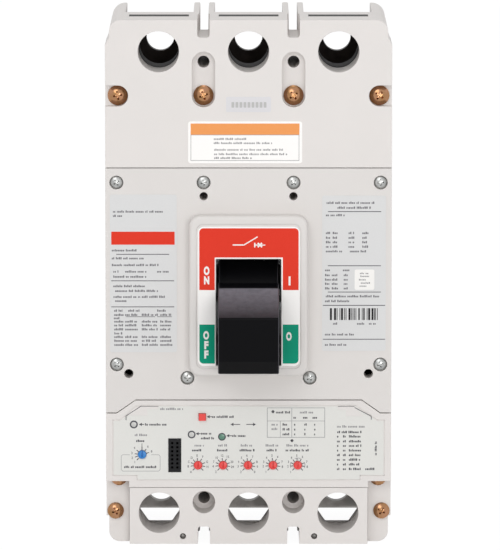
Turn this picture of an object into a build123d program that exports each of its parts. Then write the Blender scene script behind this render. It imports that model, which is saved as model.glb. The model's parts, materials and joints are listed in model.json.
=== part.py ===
"""Three-pole molded case circuit breaker with a toggle handle and an electronic trip unit.

Millimetres.  +X right, +Z up along the breaker, the front faces -Y.  The origin is the centre of the
flat rear face.  "Depth" below means the distance in front of that rear face, so depth d lies at Y = -d.
"""

from build123d import *
import math
import os

os.makedirs("parts", exist_ok=True)

# Case
width = 139.2
height = 257.3
face_depth = 95.0
escutcheon_depth = 103.9
parting_depth = 59.0
pole_pitch = 43.7
pole_half = 16.7
rear_wall = 5.0
half_width = width / 2
half_height = height / 2
pole_x = [-pole_pitch, 0.0, pole_pitch]
pole_names = ["left", "center", "right"]

# Terminals and mounting
terminal_z = 113.2
line_bar_hole_z = 113.7
load_bar_hole_z = -112.5
access_radius = 10.0
load_bore_radius = 12.4
mount_x = pole_pitch / 2
mount_z = 215.9 / 2
mount_radius = 2.9
barrier_slot = 5.9
barrier_slot_corner = 1.5
base_slot = 4.4

# Current path
bar_half = 12.0
bar_back = 19.0
bar_front = 25.0
bar_end_z = 123.0
bar_hole_radius = 6.85
bar_chamfer = 1.2

# Mechanism points as (depth, z)
crossbar_axis = (34.0, -14.0)
cradle_pivot = (63.0, 26.0)
upper_pin = (60.0, 12.0)
latch_pivot = (56.0, -52.0)
trip_axis = (74.0, -55.0)
handle_pivot = (71.9, -12.8)

# Travel
handle_off = -11.0
handle_swing = 22.0
contact_swing = 23.1

# Turning fits: radial clearance
pin_gap = 0.05


def side_plane(x, point=(0.0, 0.0), angle=0.0):
    """A drawing plane seen from the breaker's left: local x runs forward, local y up."""
    turn = math.radians(angle)
    return Plane(
        origin=(x, -point[0], point[1]),
        x_dir=(0, -math.cos(turn), math.sin(turn)),
        z_dir=(-1, 0, 0),
    )


def front_plane(depth):
    """A drawing plane seen from the front: local x right, local y up, extruding forward."""
    return Plane.XZ.offset(depth)


def slab(x_span, depth_span, z_span, mode=Mode.ADD):
    """A box given by its two limits on each axis."""
    middle = (sum(x_span) / 2, -sum(depth_span) / 2, sum(z_span) / 2)
    with Locations(middle):
        Box(x_span[1] - x_span[0], depth_span[1] - depth_span[0], z_span[1] - z_span[0], mode=mode)


def round_bar(x, z, radius, depth_span, mode=Mode.ADD):
    """A cylinder that runs from front to back."""
    with Locations((x, -sum(depth_span) / 2, z)):
        Cylinder(radius, depth_span[1] - depth_span[0], rotation=(90, 0, 0), mode=mode)


def cross_pin(point, radius, x_span, mode=Mode.ADD):
    """A cylinder that runs from side to side through a (depth, z) point."""
    with Locations((sum(x_span) / 2, -point[0], point[1])):
        Cylinder(radius, x_span[1] - x_span[0], rotation=(0, 90, 0), mode=mode)


def both_sides(inner, outer):
    """The two X spans of a mirrored pair."""
    return [(-outer, -inner), (inner, outer)]


def keep(piece, name):
    """Label a finished piece and write it."""
    piece.label = name
    export_step(piece, f"parts/{name}.step")


def polygon(plane, corners, radius=0.0):
    """A closed outline with straight sides and equal rounded corners."""
    with BuildSketch(plane) as outline:
        with BuildLine():
            Polyline(*corners, close=True)
        make_face()
        if radius > 0:
            fillet(outline.vertices(), radius=radius)
    return outline.sketch


def mirrored(corners):
    """Right-hand corners from top to bottom, closed by their mirror images."""
    return corners + [(-x, z) for x, z in reversed(corners)]


def span(point, other):
    """Length and direction in degrees from one (depth, z) point to another."""
    run = other[0] - point[0]
    rise = other[1] - point[1]
    return math.hypot(run, rise), math.degrees(math.atan2(rise, run))


def reach(point, length, angle):
    """The (depth, z) point at a length and direction from another."""
    turn = math.radians(angle)
    return point[0] + length * math.cos(turn), point[1] + length * math.sin(turn)


# ---------------------------------------------------------------- case outlines
end_inset = 2.0
end_slope = (116.5, 120.0)
end_round = 5.6
foot_step_z = -115.8
foot_inset = 1.3
bottom_round = 5.2
case_corners = mirrored([
    (half_width - end_inset, half_height),
    (half_width - end_inset, end_slope[1]),
    (half_width, end_slope[0]),
    (half_width, foot_step_z),
    (half_width - foot_inset, foot_step_z),
    (half_width - foot_inset, -half_height),
])
accessory_top = 56.4
accessory_bottom = -57.3
accessory_side_bottom = -63.7
accessory_corners = mirrored([
    (half_width, accessory_top),
    (half_width, accessory_side_bottom),
    (64.4, accessory_side_bottom),
    (55.4, accessory_bottom),
])
trip_half = 66.2
trip_top = -60.2
trip_bottom = -96.8
trip_shoulder = -94.6
trip_corners = mirrored([
    (52.2, trip_top),
    (59.7, -65.2),
    (63.0, -67.4),
    (trip_half, -67.4),
    (trip_half, trip_shoulder),
    (54.4, trip_shoulder),
    (54.4, trip_bottom),
])
load_cover_half = 58.2
load_cover_top = -100.8
load_cover_back = 71.8
corner_floor = 87.5
corner_top = -97.5
pocket_depth = 86.0
cavity_depth = 83.0
joint_gap = 0.2
seam_gap = 0.35


def case_block(depth_from, depth_to):
    """The case's full front outline, extruded between two depths."""
    with BuildPart() as block:
        with BuildSketch(front_plane(depth_from)) as outline:
            with BuildLine():
                Polyline(*case_corners, close=True)
            make_face()
            fillet(outline.vertices().group_by(Axis.Y)[0], radius=bottom_round)
            fillet(outline.vertices().group_by(Axis.Y)[-1], radius=end_round)
        extrude(amount=depth_to - depth_from)
    return block.part


def to_tip(end, z):
    """The Z span from a height to just past the line (1) or load (-1) end."""
    return tuple(sorted((end * z, end * (half_height + 1))))


# ---------------------------------------------------------------- base
bearing_radius = 9.0
bearing_wall = 5.5
chamber_top = 84.0
chamber_bottom = -99.0
line_wall = 88.0
load_wall = -103.0
roof_back = 52.0
notch_half = 10.0
ear_z = 122.5
rear_half_width = 66.8
parting_half_width = 69.1
rear_corner = 12.0
deep_slot_z = 113.6
deep_slot_depth = 53.0
slot_floor = half_height - 8.6
slot_reach = half_height + 5.0
line_screw_z = 91.7
cover_screw_points = [
    (-mount_x, line_screw_z), (mount_x, line_screw_z), (-63.5, line_screw_z), (63.5, line_screw_z),
    (-65.1, -113.2), (65.1, -113.2), (-63.9, -97.7), (63.9, -97.7),
]
lead_in_corners = [(9.9, -103.2), (9.9, -118.4), (5.8, -124.3)]
insert_radius = 3.2
insert_back = 47.0
insert_sink = 0.2
insert_bore = 2.05

with BuildPart() as base:
    with BuildSketch(Plane.XY.offset(-half_height)) as base_plan:
        with BuildLine():
            Polyline(
                (-rear_half_width, 0), (rear_half_width, 0),
                (parting_half_width, -parting_depth), (-parting_half_width, -parting_depth),
                close=True,
            )
        make_face()
        fillet(base_plan.vertices().group_by(Axis.Y)[-1], radius=rear_corner)
    extrude(amount=height)
    add(case_block(-1, parting_depth), mode=Mode.INTERSECT)
    for x in pole_x:
        chamber_span = (x - pole_half, x + pole_half)
        slab(chamber_span, (rear_wall, parting_depth), (chamber_bottom, chamber_top), Mode.SUBTRACT)
        bar_slot = (x - bar_half - 0.3, x + bar_half + 0.3)
        slab(bar_slot, (bar_back - 0.2, bar_front + 0.2), (-bar_end_z, bar_end_z), Mode.SUBTRACT)
        for end, wall in ((1, line_wall), (-1, load_wall)):
            slab(chamber_span, (rear_wall, roof_back), to_tip(end, abs(wall)), Mode.SUBTRACT)
            slab(chamber_span, (-1, rear_wall), to_tip(end, ear_z), Mode.SUBTRACT)
            notch_x = (x - notch_half, x + notch_half)
            slab(notch_x, (-1, rear_wall), to_tip(end, terminal_z), Mode.SUBTRACT)
            round_bar(x, end * terminal_z, notch_half, (-1, rear_wall), Mode.SUBTRACT)
        round_bar(x, terminal_z, access_radius, (rear_wall, parting_depth), Mode.SUBTRACT)
        lead_in = [(x + across, z) for across, z in mirrored(lead_in_corners)]
        lead_in_outline = polygon(front_plane(roof_back), lead_in)
        extrude(lead_in_outline, amount=parting_depth - roof_back, mode=Mode.SUBTRACT)
    for x in (-mount_x, mount_x):
        for end in (1, -1):
            slot_x = (x - base_slot / 2, x + base_slot / 2)
            slab(slot_x, (-1, parting_depth), to_tip(end, slot_floor), Mode.SUBTRACT)
            slab(slot_x, (-1, deep_slot_depth), to_tip(end, deep_slot_z), Mode.SUBTRACT)
            round_bar(x, end * mount_z, mount_radius, (-1, parting_depth), Mode.SUBTRACT)
        wall_x = (x - bearing_wall, x + bearing_wall)
        cross_pin(crossbar_axis, bearing_radius, wall_x, Mode.SUBTRACT)
        bearing_z = (crossbar_axis[1] - bearing_radius, crossbar_axis[1] + bearing_radius)
        slab(wall_x, (crossbar_axis[0], parting_depth), bearing_z, Mode.SUBTRACT)
    for x, z in cover_screw_points:
        round_bar(x, z, insert_radius, (insert_back, parting_depth), Mode.SUBTRACT)
keep(base.part, "base")

# ---------------------------------------------------------------- main cover
vent_half = 14.6
vent_slot = (65.4, 75.6)
vent_chamber_front = 78.0
vent_ceiling = 127.3
vent_rim = 1.2
bore_tube = 12.2
screw_recess_floor = 90.5
long_recess = (27.0, 11.2)
long_recess_z = 99.7
side_recess = (20.4, 10.2)
side_recess_x = 68.6
cover_screw_hole = 2.2
head_gap = 0.15
head_pocket_front = 91.0
handle_window_x = (-21.0, 21.0)
handle_window_z = (-45.0, 24.0)
trip_bar_bay_x = (-36.0, 36.0)
trip_bar_bay_z = (-61.0, -46.0)
trip_bar_bay_front = 81.0
line_head_radius = 4.9
load_head_radius = 4.05
hidden_head_radius = 3.0
silver_shank = 1.75
silver_points = [
    (-mount_x, 49.4), (mount_x, 49.4), (-64.2, 49.4), (64.2, 49.4),
    (-64.2, -39.9), (64.2, -39.9), (-29.8, -46.5), (29.8, -46.5),
]
silver_hole_back = 76.0
silver_boss_radius = 4.0
silver_boss_back = 72.0
load_shank = 0.9
load_hole_back = 62.0
load_screw_points = [(-32.1, -124.9), (32.1, -124.9)]
latch_holes = [(-21.8, 42.7), (21.8, 42.7), (-58.4, -44.4), (58.4, -44.4)]
latch_hole_radii = [2.0, 2.0, 2.2, 2.2]
latch_hole_back = 66.0


def head_radius_at(z):
    """The gold screw head's radius: largest at the line end, smallest under the load end's ledge."""
    if z > 0:
        return line_head_radius
    return load_head_radius if z < load_cover_top else hidden_head_radius


with BuildPart() as main_cover:
    add(case_block(parting_depth, face_depth))
    for x in pole_x:
        pole_span = (x - pole_half, x + pole_half)
        slab(pole_span, (parting_depth, cavity_depth), (-56.0, chamber_top), Mode.SUBTRACT)
        vent_span = (x - vent_half - vent_rim, x + vent_half + vent_rim)
        slab(vent_span, (parting_depth, vent_chamber_front), (chamber_top, vent_ceiling), Mode.SUBTRACT)
        slab((x - vent_half, x + vent_half), vent_slot, (vent_ceiling, half_height), Mode.SUBTRACT)
        round_bar(x, terminal_z, bore_tube, (parting_depth, vent_chamber_front))
        round_bar(x, terminal_z, access_radius, (parting_depth, face_depth), Mode.SUBTRACT)
        round_bar(x, -terminal_z, load_bore_radius, (parting_depth, load_cover_back), Mode.SUBTRACT)
    with BuildSketch(front_plane(pocket_depth)):
        add(polygon(front_plane(pocket_depth), accessory_corners))
        offset(amount=seam_gap, kind=Kind.INTERSECTION)
    extrude(amount=face_depth - pocket_depth, mode=Mode.SUBTRACT)
    slab(handle_window_x, (parting_depth, face_depth), handle_window_z, Mode.SUBTRACT)
    with BuildSketch(front_plane(parting_depth)) as window:
        add(polygon(front_plane(parting_depth), trip_corners))
        offset(amount=joint_gap)
    extrude(amount=face_depth - parting_depth, mode=Mode.SUBTRACT)
    slab(trip_bar_bay_x, (parting_depth, trip_bar_bay_front), trip_bar_bay_z, Mode.SUBTRACT)
    load_x = (-load_cover_half - joint_gap, load_cover_half + joint_gap)
    load_z = (-half_height - 1, load_cover_top + joint_gap)
    slab(load_x, (load_cover_back, face_depth), load_z, Mode.SUBTRACT)
    for x_span in both_sides(load_cover_half + joint_gap, half_width + 1):
        slab(x_span, (corner_floor, face_depth), (-half_height - 1, corner_top), Mode.SUBTRACT)
    with BuildSketch(front_plane(parting_depth)):
        with GridLocations(2 * mount_x, slot_floor + slot_reach, 2, 2):
            RectangleRounded(barrier_slot, slot_reach - slot_floor, barrier_slot_corner)
        with GridLocations(2 * mount_x, 2 * mount_z, 2, 2):
            Circle(mount_radius)
    extrude(amount=face_depth - parting_depth, mode=Mode.SUBTRACT)
    with BuildSketch(front_plane(screw_recess_floor)):
        with Locations((-mount_x, long_recess_z), (mount_x, long_recess_z)):
            SlotOverall(*long_recess, rotation=90)
        with Locations((-side_recess_x, line_screw_z), (side_recess_x, line_screw_z)):
            SlotOverall(*side_recess)
    extrude(amount=face_depth, mode=Mode.SUBTRACT)
    for x, z in cover_screw_points:
        hole_front = face_depth if z > 0 else corner_floor
        round_bar(x, z, cover_screw_hole, (parting_depth, hole_front), Mode.SUBTRACT)
        if z < 0:
            head_pocket = (corner_floor, head_pocket_front)
            round_bar(x, z, head_radius_at(z) + head_gap, head_pocket, Mode.SUBTRACT)
    for x, z in silver_points[-2:]:
        round_bar(x, z, silver_boss_radius, (silver_boss_back, pocket_depth))
    for x, z in silver_points:
        round_bar(x, z, silver_shank, (silver_hole_back, pocket_depth), Mode.SUBTRACT)
    for (x, z), radius in zip(latch_holes, latch_hole_radii):
        round_bar(x, z, radius, (latch_hole_back, pocket_depth), Mode.SUBTRACT)
    for x, z in load_screw_points:
        round_bar(x, z, load_shank, (load_hole_back, load_cover_back), Mode.SUBTRACT)
keep(main_cover.part, "main_cover")

# ---------------------------------------------------------------- accessory cover
cover_back = 86.2
cover_edge = 0.5
escutcheon_half = 28.8
escutcheon_top = 34.1
escutcheon_bottom = -44.5
escutcheon_corner = 5.5
escutcheon_edge = 1.6
escutcheon_recess = 0.6
recess_size = (50.8, 70.9)
recess_middle = -5.3
recess_corner = 3.5
aperture_corner = 0.5
handle_bay_half = 20.5
handle_bay_front = 98.5
label_bay_half = 16.2
label_bay_back = 98.0
bay_z = (-42.2, 19.5)
side_bay_x = (34.0, 58.0)
side_bay_z = (-37.0, 40.0)
side_bay_front = 92.0
silver_hole = 1.9
aperture_half = 15.8
aperture_top = 13.0
aperture_bottom = -39.3
escutcheon_back = 100.9
silver_head_radius = 3.2
silver_seat = 93.0

with BuildPart() as accessory_cover:
    with BuildSketch(front_plane(cover_back)):
        add(polygon(front_plane(cover_back), accessory_corners))
    extrude(amount=face_depth - cover_back)
    fillet(accessory_cover.edges().filter_by(Axis.X).group_by(Axis.Y)[0], radius=cover_edge)
    with BuildSketch(front_plane(face_depth)):
        with Locations((0, (escutcheon_top + escutcheon_bottom) / 2)):
            RectangleRounded(2 * escutcheon_half, escutcheon_top - escutcheon_bottom, escutcheon_corner)
    extrude(amount=escutcheon_depth - face_depth)
    fillet(accessory_cover.faces().sort_by(Axis.Y)[0].edges(), radius=escutcheon_edge)
    with BuildSketch(front_plane(escutcheon_depth - escutcheon_recess)):
        with Locations((0, recess_middle)):
            RectangleRounded(*recess_size, recess_corner)
    extrude(amount=escutcheon_recess, mode=Mode.SUBTRACT)
    with BuildSketch(front_plane(cover_back)):
        with Locations((0, (aperture_top + aperture_bottom) / 2)):
            RectangleRounded(2 * aperture_half, aperture_top - aperture_bottom, aperture_corner)
    extrude(amount=escutcheon_depth - cover_back, mode=Mode.SUBTRACT)
    slab((-handle_bay_half, handle_bay_half), (cover_back, handle_bay_front), bay_z, Mode.SUBTRACT)
    slab((-label_bay_half, label_bay_half), (label_bay_back, escutcheon_back), bay_z, Mode.SUBTRACT)
    for x_span in both_sides(*side_bay_x):
        slab(x_span, (cover_back, side_bay_front), side_bay_z, Mode.SUBTRACT)
    for x, z in silver_points:
        round_bar(x, z, silver_hole, (cover_back, face_depth), Mode.SUBTRACT)
        round_bar(x, z, silver_head_radius + head_gap, (silver_seat, face_depth), Mode.SUBTRACT)
    for (x, z), radius in zip(latch_holes, latch_hole_radii):
        round_bar(x, z, radius, (cover_back, face_depth), Mode.SUBTRACT)
keep(accessory_cover.part, "accessory_cover")

# ---------------------------------------------------------------- load-end cover
counterbore = 5.5
counterbore_back = 81.0
load_seat = 92.8
load_hole = 1.1
load_cover_head = 1.35

with BuildPart() as load_end_cover:
    slab(
        (-load_cover_half, load_cover_half), (load_cover_back, face_depth),
        (-half_height, load_cover_top),
    )
    for x in pole_x:
        round_bar(x, -terminal_z, access_radius, (load_cover_back, face_depth), Mode.SUBTRACT)
    with BuildSketch(front_plane(load_cover_back)):
        with Locations(*[(x, -(slot_floor + slot_reach) / 2) for x in (-mount_x, mount_x)]):
            RectangleRounded(barrier_slot, slot_reach - slot_floor, barrier_slot_corner)
    extrude(amount=face_depth - load_cover_back, mode=Mode.SUBTRACT)
    for x in (-mount_x, mount_x):
        round_bar(x, -mount_z, mount_radius, (load_cover_back, face_depth), Mode.SUBTRACT)
        round_bar(x, -mount_z, counterbore, (counterbore_back, face_depth), Mode.SUBTRACT)
    for x, z in load_screw_points:
        round_bar(x, z, load_hole, (load_cover_back, face_depth), Mode.SUBTRACT)
        round_bar(x, z, load_cover_head + head_gap, (load_seat, face_depth), Mode.SUBTRACT)
keep(load_end_cover.part, "load_end_cover")

# ---------------------------------------------------------------- vent screens and inserts
screen_rim = 0.9
screen_thickness = 1.4
screen_pitch = (4.0, 3.4)
screen_hole = 1.2

with BuildPart() as vent_screens:
    for x in pole_x:
        screen_x = (x - vent_half - screen_rim, x + vent_half + screen_rim)
        screen_depth = (vent_slot[0] - screen_rim, vent_slot[1] + screen_rim)
        slab(screen_x, screen_depth, (vent_ceiling - screen_thickness, vent_ceiling))
        with BuildSketch(Plane.XY.offset(vent_ceiling)):
            with Locations((x, -sum(vent_slot) / 2)):
                with GridLocations(*screen_pitch, 7, 3):
                    Circle(screen_hole)
        extrude(amount=-screen_thickness, mode=Mode.SUBTRACT)
keep(vent_screens.part, "vent_screens")

with BuildPart() as cover_inserts:
    for x, z in cover_screw_points:
        round_bar(x, z, insert_radius, (insert_back, parting_depth - insert_sink))
        round_bar(x, z, insert_bore, (insert_back, parting_depth), Mode.SUBTRACT)
keep(cover_inserts.part, "cover_inserts")

# ---------------------------------------------------------------- current path
arm_length = 60.0
arm_half_width = 6.0
arm_half_depth = 4.0
barrel_radius = 8.5
pad_reach = 54.5
pad_height = 2.0
pad_length = 8.0
pad_width = 9.0
fixed_pad_front = 27.85
line_bar_end = 33.0
load_bar_end = -36.0
open_angle = -contact_swing
chute_bottom = 49.0
chute_top = 83.5
chute_depth = (28.0, 80.0)
chute_half = 14.9
chute_wall = 1.5
exhaust_pitch = 6.0
exhaust_radius = 2.0
plate_span = (50.0, 81.5)
notch_top = 66.0
plate_count = 10
plate_pitch = 4.6
first_plate = 31.5
plate_thickness = 1.6


def terminal_bar(x, z_span, hole_z):
    """A flat tinned bar with its terminal hole near one end."""
    with BuildPart() as bar:
        slab((x - bar_half, x + bar_half), (bar_back, bar_front), z_span)
        round_bar(x, hole_z, bar_hole_radius, (bar_back, bar_front), Mode.SUBTRACT)
        tip_edges = bar.edges().filter_by(Axis.X).sort_by(lambda edge: abs(edge.center().Z))[-2:]
        chamfer(tip_edges, length=bar_chamfer)
    return bar.part


def contact_arm(x):
    """A copper blade on the crossbar, drawn in its closed pose and tilted open."""
    with BuildPart() as arm:
        with BuildSketch(side_plane(x + arm_half_width, crossbar_axis, open_angle)):
            with BuildLine():
                Polyline(
                    (-arm_half_depth, -7.0), (arm_half_depth, -7.0), (arm_half_depth, 48.0),
                    (1.5, arm_length), (-arm_half_depth, arm_length), close=True,
                )
            make_face()
        extrude(amount=2 * arm_half_width)
    return arm.part


def contact_pad(x):
    """The silver pad on the rear of an arm's tip."""
    with BuildPart() as pad:
        with BuildSketch(side_plane(x + pad_width / 2, crossbar_axis, open_angle)):
            with Locations((-arm_half_depth - pad_height / 2, pad_reach)):
                Rectangle(pad_height, pad_length)
        extrude(amount=pad_width)
    return pad.part


def chute_frame(x):
    """Two fibre side walls joined by a perforated exhaust plate."""
    with BuildPart() as frame:
        for x_span in both_sides(chute_half - chute_wall, chute_half):
            moved = (x + x_span[0], x + x_span[1])
            slab(moved, chute_depth, (chute_bottom, chute_top))
        slab((x - chute_half, x + chute_half), chute_depth, (chute_top - chute_wall, chute_top))
        with BuildSketch(Plane.XY.offset(chute_top)):
            with Locations((x, -sum(chute_depth) / 2)):
                with GridLocations(exhaust_pitch, exhaust_pitch, 4, 8):
                    Circle(exhaust_radius)
        extrude(amount=-chute_wall, mode=Mode.SUBTRACT)
    return frame.part


def chute_plates(x):
    """The steel splitter plates, notched toward the contact's path."""
    inner = chute_half - chute_wall
    low, high = plate_span
    notch = [(x - 6.5, low), (x - 2.0, notch_top), (x + 2.0, notch_top), (x + 6.5, low)]
    with BuildPart() as stack:
        for index in range(plate_count):
            with BuildSketch(front_plane(first_plate + index * plate_pitch)):
                with Locations((x, (low + high) / 2)):
                    Rectangle(2 * inner, high - low)
                with BuildLine():
                    Polyline(*notch, close=True)
                make_face(mode=Mode.SUBTRACT)
            extrude(amount=plate_thickness)
    return stack.part


for x, side in zip(pole_x, pole_names):
    keep(terminal_bar(x, (line_bar_end, bar_end_z), line_bar_hole_z), f"line_conductor_{side}")
    keep(terminal_bar(x, (-bar_end_z, load_bar_end), load_bar_hole_z), f"load_conductor_{side}")
    keep(contact_arm(x), f"contact_arm_{side}")
    keep(chute_plates(x), f"arc_plates_{side}")

shunt_half = 10.0
fixed_pad_half = 5.0
fixed_pad_z = (36.0, 46.0)
shunt_corners = [
    (bar_front, -50.0), (28.0, -50.0), (28.0, -39.5), (36.0, -32.0),
    (36.0, -24.4), (33.0, -24.4), (33.0, -30.6), (bar_front, -38.0),
]

with BuildPart() as flexible_shunts:
    for x in pole_x:
        extrude(polygon(side_plane(x + shunt_half), shunt_corners), amount=2 * shunt_half)
keep(flexible_shunts.part, "flexible_shunts")

with BuildPart() as arc_chute_frames:
    for x in pole_x:
        add(chute_frame(x))
keep(arc_chute_frames.part, "arc_chute_frames")

with BuildPart() as fixed_contacts:
    for x in pole_x:
        slab((x - fixed_pad_half, x + fixed_pad_half), (bar_front, fixed_pad_front), fixed_pad_z)
keep(fixed_contacts.part, "fixed_contacts")

with BuildPart() as moving_contacts:
    for x in pole_x:
        add(contact_pad(x))
keep(moving_contacts.part, "moving_contacts")

# ---------------------------------------------------------------- toggle linkage
lever_radius = 14.0
lever_closed_angle = 86.4
upper_length = 14.5
lower_length = 13.5
lever_open_angle = lever_closed_angle - contact_swing
lever_pin = reach(crossbar_axis, lever_radius, lever_open_angle)
lever_pin_closed = reach(crossbar_axis, lever_radius, lever_closed_angle)


def knee_position(lever_end):
    """Where the two links meet, on the handle's OFF side of the straight line."""
    gap, direction = span(upper_pin, lever_end)
    along = (upper_length**2 - lower_length**2 + gap**2) / (2 * gap)
    aside = math.sqrt(upper_length**2 - along**2)
    return reach(reach(upper_pin, along, direction), aside, direction + 90)


knee = knee_position(lever_pin)
knee_closed = knee_position(lever_pin_closed)
lower_turn = span(lever_pin_closed, knee_closed)[1] - span(lever_pin, knee)[1]
upper_turn = span(upper_pin, knee_closed)[1] - span(upper_pin, knee)[1]
print("lever pin", lever_pin, "knee", knee)
print("crossbar turn for each degree of the handle", contact_swing / handle_swing)
print("lower links on the crossbar", (lower_turn - contact_swing) / handle_swing)
print("upper links on the lower links", (upper_turn - lower_turn) / handle_swing)

link_pin_radius = 2.5
link_eye = 4.0
lever_eye = 5.0
crossbar_half = 60.1
journal_half = 5.0
lever_x = (7.0, 10.6)
lever_pin_x = (10.6, 13.6)
lower_link_x = (11.2, 13.2)
upper_link_x = (8.8, 10.8)
upper_pin_x = (6.5, 8.8)
upper_pin_radius = 2.0


def bar_link(point, other, eye_radius, x_span):
    """A flat link with round ends about two (depth, z) points."""
    length, angle = span(point, other)
    with BuildPart() as link:
        with BuildSketch(side_plane(x_span[1], point, angle)):
            with Locations((0, 0), (length, 0)):
                Circle(eye_radius)
            make_hull()
        extrude(amount=x_span[1] - x_span[0])
    return link.part


with BuildPart() as crossbar:
    cross_pin(crossbar_axis, barrel_radius, (-crossbar_half, crossbar_half))
    for x_span in both_sides(*lever_x):
        add(bar_link(crossbar_axis, lever_pin, lever_eye, x_span))
    for x_span in both_sides(*lever_pin_x):
        cross_pin(lever_pin, link_pin_radius, x_span)
    for x in pole_x:
        add(contact_arm(x), mode=Mode.SUBTRACT)
    for x in (-mount_x, mount_x):
        cross_pin(crossbar_axis, bearing_radius - pin_gap, (x - journal_half, x + journal_half))
keep(crossbar.part, "crossbar")

with BuildPart() as lower_links:
    for x_span in both_sides(*lower_link_x):
        add(bar_link(lever_pin, knee, link_eye, x_span))
        cross_pin(lever_pin, link_pin_radius + pin_gap, x_span, Mode.SUBTRACT)
        cross_pin(knee, link_pin_radius, x_span, Mode.SUBTRACT)
keep(lower_links.part, "lower_links")

with BuildPart() as knee_pin:
    cross_pin(knee, link_pin_radius, (-lower_link_x[1], lower_link_x[1]))
keep(knee_pin.part, "knee_pin")

with BuildPart() as upper_links:
    for x_span in both_sides(*upper_link_x):
        add(bar_link(upper_pin, knee, link_eye, x_span))
        cross_pin(knee, link_pin_radius + pin_gap, x_span, Mode.SUBTRACT)
    for x_span in both_sides(*upper_pin_x):
        cross_pin(upper_pin, upper_pin_radius, x_span)
keep(upper_links.part, "upper_links")

# ---------------------------------------------------------------- mechanism frame, cradle and latch
frame_inner = 14.6
frame_outer = 16.4
frame_corners = [
    (5.0, -40.0), (5.0, 22.0), (40.0, 34.0), (62.0, 34.0), (69.3, 28.0), (69.3, 6.0),
    (79.0, -5.0), (79.0, -20.0), (69.3, -33.0), (68.5, -57.0), (48.0, -57.0), (36.0, -40.0),
]
frame_bore = barrel_radius + 0.4
handle_pin_radius = 3.0
handle_pin_end = 19.4
cradle_pin_radius = 2.5
latch_pin_radius = 2.0
pin_end = 16.6

with BuildPart() as mechanism_frame:
    for x_span in both_sides(frame_inner, frame_outer):
        extrude(polygon(side_plane(x_span[1]), frame_corners), amount=x_span[1] - x_span[0])
        cross_pin(crossbar_axis, frame_bore, x_span, Mode.SUBTRACT)
        cross_pin(handle_pivot, handle_pin_radius, x_span, Mode.SUBTRACT)
        cross_pin(cradle_pivot, cradle_pin_radius, x_span, Mode.SUBTRACT)
        cross_pin(latch_pivot, latch_pin_radius, x_span, Mode.SUBTRACT)
keep(mechanism_frame.part, "mechanism_frame")

with BuildPart() as frame_pins:
    cross_pin(cradle_pivot, cradle_pin_radius, (-pin_end, pin_end))
    cross_pin(latch_pivot, latch_pin_radius, (-pin_end, pin_end))
    for x_span in both_sides(frame_inner, handle_pin_end):
        cross_pin(handle_pivot, handle_pin_radius, x_span)
keep(frame_pins.part, "frame_pins")

cradle_corners = [
    (58.8, 28.0), (60.5, 31.0), (66.0, 31.0), (68.3, 27.0), (66.5, 6.0), (66.5, -24.0),
    (63.0, -33.0), (63.0, -39.0), (58.5, -39.0), (58.5, -26.0), (61.0, -20.0), (60.5, -3.0),
    (59.5, 4.0), (55.0, 9.0), (55.0, 16.5),
]
open_pivot_radius = 4.3
cradle_x = (6.6, 8.4)
cradle_tube_radius = 4.0
cradle_web_depth = (59.0, 62.5)
cradle_web_z = (-38.5, -33.0)

with BuildPart() as cradle:
    for x_span in both_sides(*cradle_x):
        extrude(polygon(side_plane(x_span[1]), cradle_corners), amount=x_span[1] - x_span[0])
        cross_pin(upper_pin, open_pivot_radius, x_span, Mode.SUBTRACT)
    slab((-cradle_x[0], cradle_x[0]), cradle_web_depth, cradle_web_z)
    cross_pin(cradle_pivot, cradle_tube_radius, (-cradle_x[1], cradle_x[1]))
    cross_pin(cradle_pivot, cradle_pin_radius + pin_gap, (-cradle_x[1], cradle_x[1]), Mode.SUBTRACT)
keep(cradle.part, "cradle")

latch_half = 5.5
latch_corners = [
    (53.0, -55.0), (59.0, -55.0), (67.4, -46.0), (67.4, -38.0), (65.0, -38.0), (65.0, -43.0),
    (56.0, -48.5), (53.0, -49.5),
]

with BuildPart() as latch:
    extrude(polygon(side_plane(latch_half), latch_corners), amount=2 * latch_half)
    cross_pin(latch_pivot, latch_pin_radius + pin_gap, (-latch_half, latch_half), Mode.SUBTRACT)
keep(latch.part, "latch")

# ---------------------------------------------------------------- handle and yoke
drum_radius = 28.5
drum_inner = 25.0
drum_low = -79.0
drum_high = 80.6
handle_half = 14.75
drum_half = 14.4
yoke_front = 24.4
yoke_plate = 2.2
yoke_inner = 17.2
yoke_outer = 19.2
yoke_seat = 2.2
yoke_seat_height = 9.0
drum_overlap = 0.5
grip_round = 1.0
rim_depth = face_depth + 20
yoke_corners = [
    (-5.0, -5.0), (-5.0, 5.0), (3.0, 7.5), (23.4, 8.5), (yoke_front, 4.6),
    (yoke_front, -4.6), (23.4, -8.5), (3.0, -7.5),
]
yoke_opening = (42.2, 30.0)
grip_corners = [
    (25.6, 19.2), (60.7, 13.0), (61.8, -8.7), (57.1, -16.8), (25.6, -18.5),
]

with BuildPart() as handle:
    with BuildSketch(side_plane(drum_half, handle_pivot, handle_off)):
        with BuildLine():
            outer = CenterArc((0, 0), drum_radius, drum_low, drum_high - drum_low)
            inner = CenterArc((0, 0), drum_inner, drum_low, drum_high - drum_low)
            Line(outer @ 0, inner @ 0)
            Line(outer @ 1, inner @ 1)
        make_face()
    extrude(amount=2 * drum_half)
    with BuildSketch(side_plane(handle_half, handle_pivot, handle_off)):
        with BuildLine():
            Polyline(*grip_corners, close=True)
        make_face()
        Circle(drum_radius - drum_overlap, mode=Mode.SUBTRACT)
    extrude(amount=2 * handle_half)
    with BuildSketch(side_plane(drum_half, handle_pivot, handle_off)):
        with Locations((yoke_front + yoke_seat / 2, 0)):
            Rectangle(yoke_seat, yoke_seat_height)
    extrude(amount=2 * drum_half)
    grip_rims = handle.edges().filter_by(lambda edge: edge.center().Y < -rim_depth)
    fillet(grip_rims.filter_by(Axis.X), radius=grip_round)
keep(handle.part, "handle")

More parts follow.
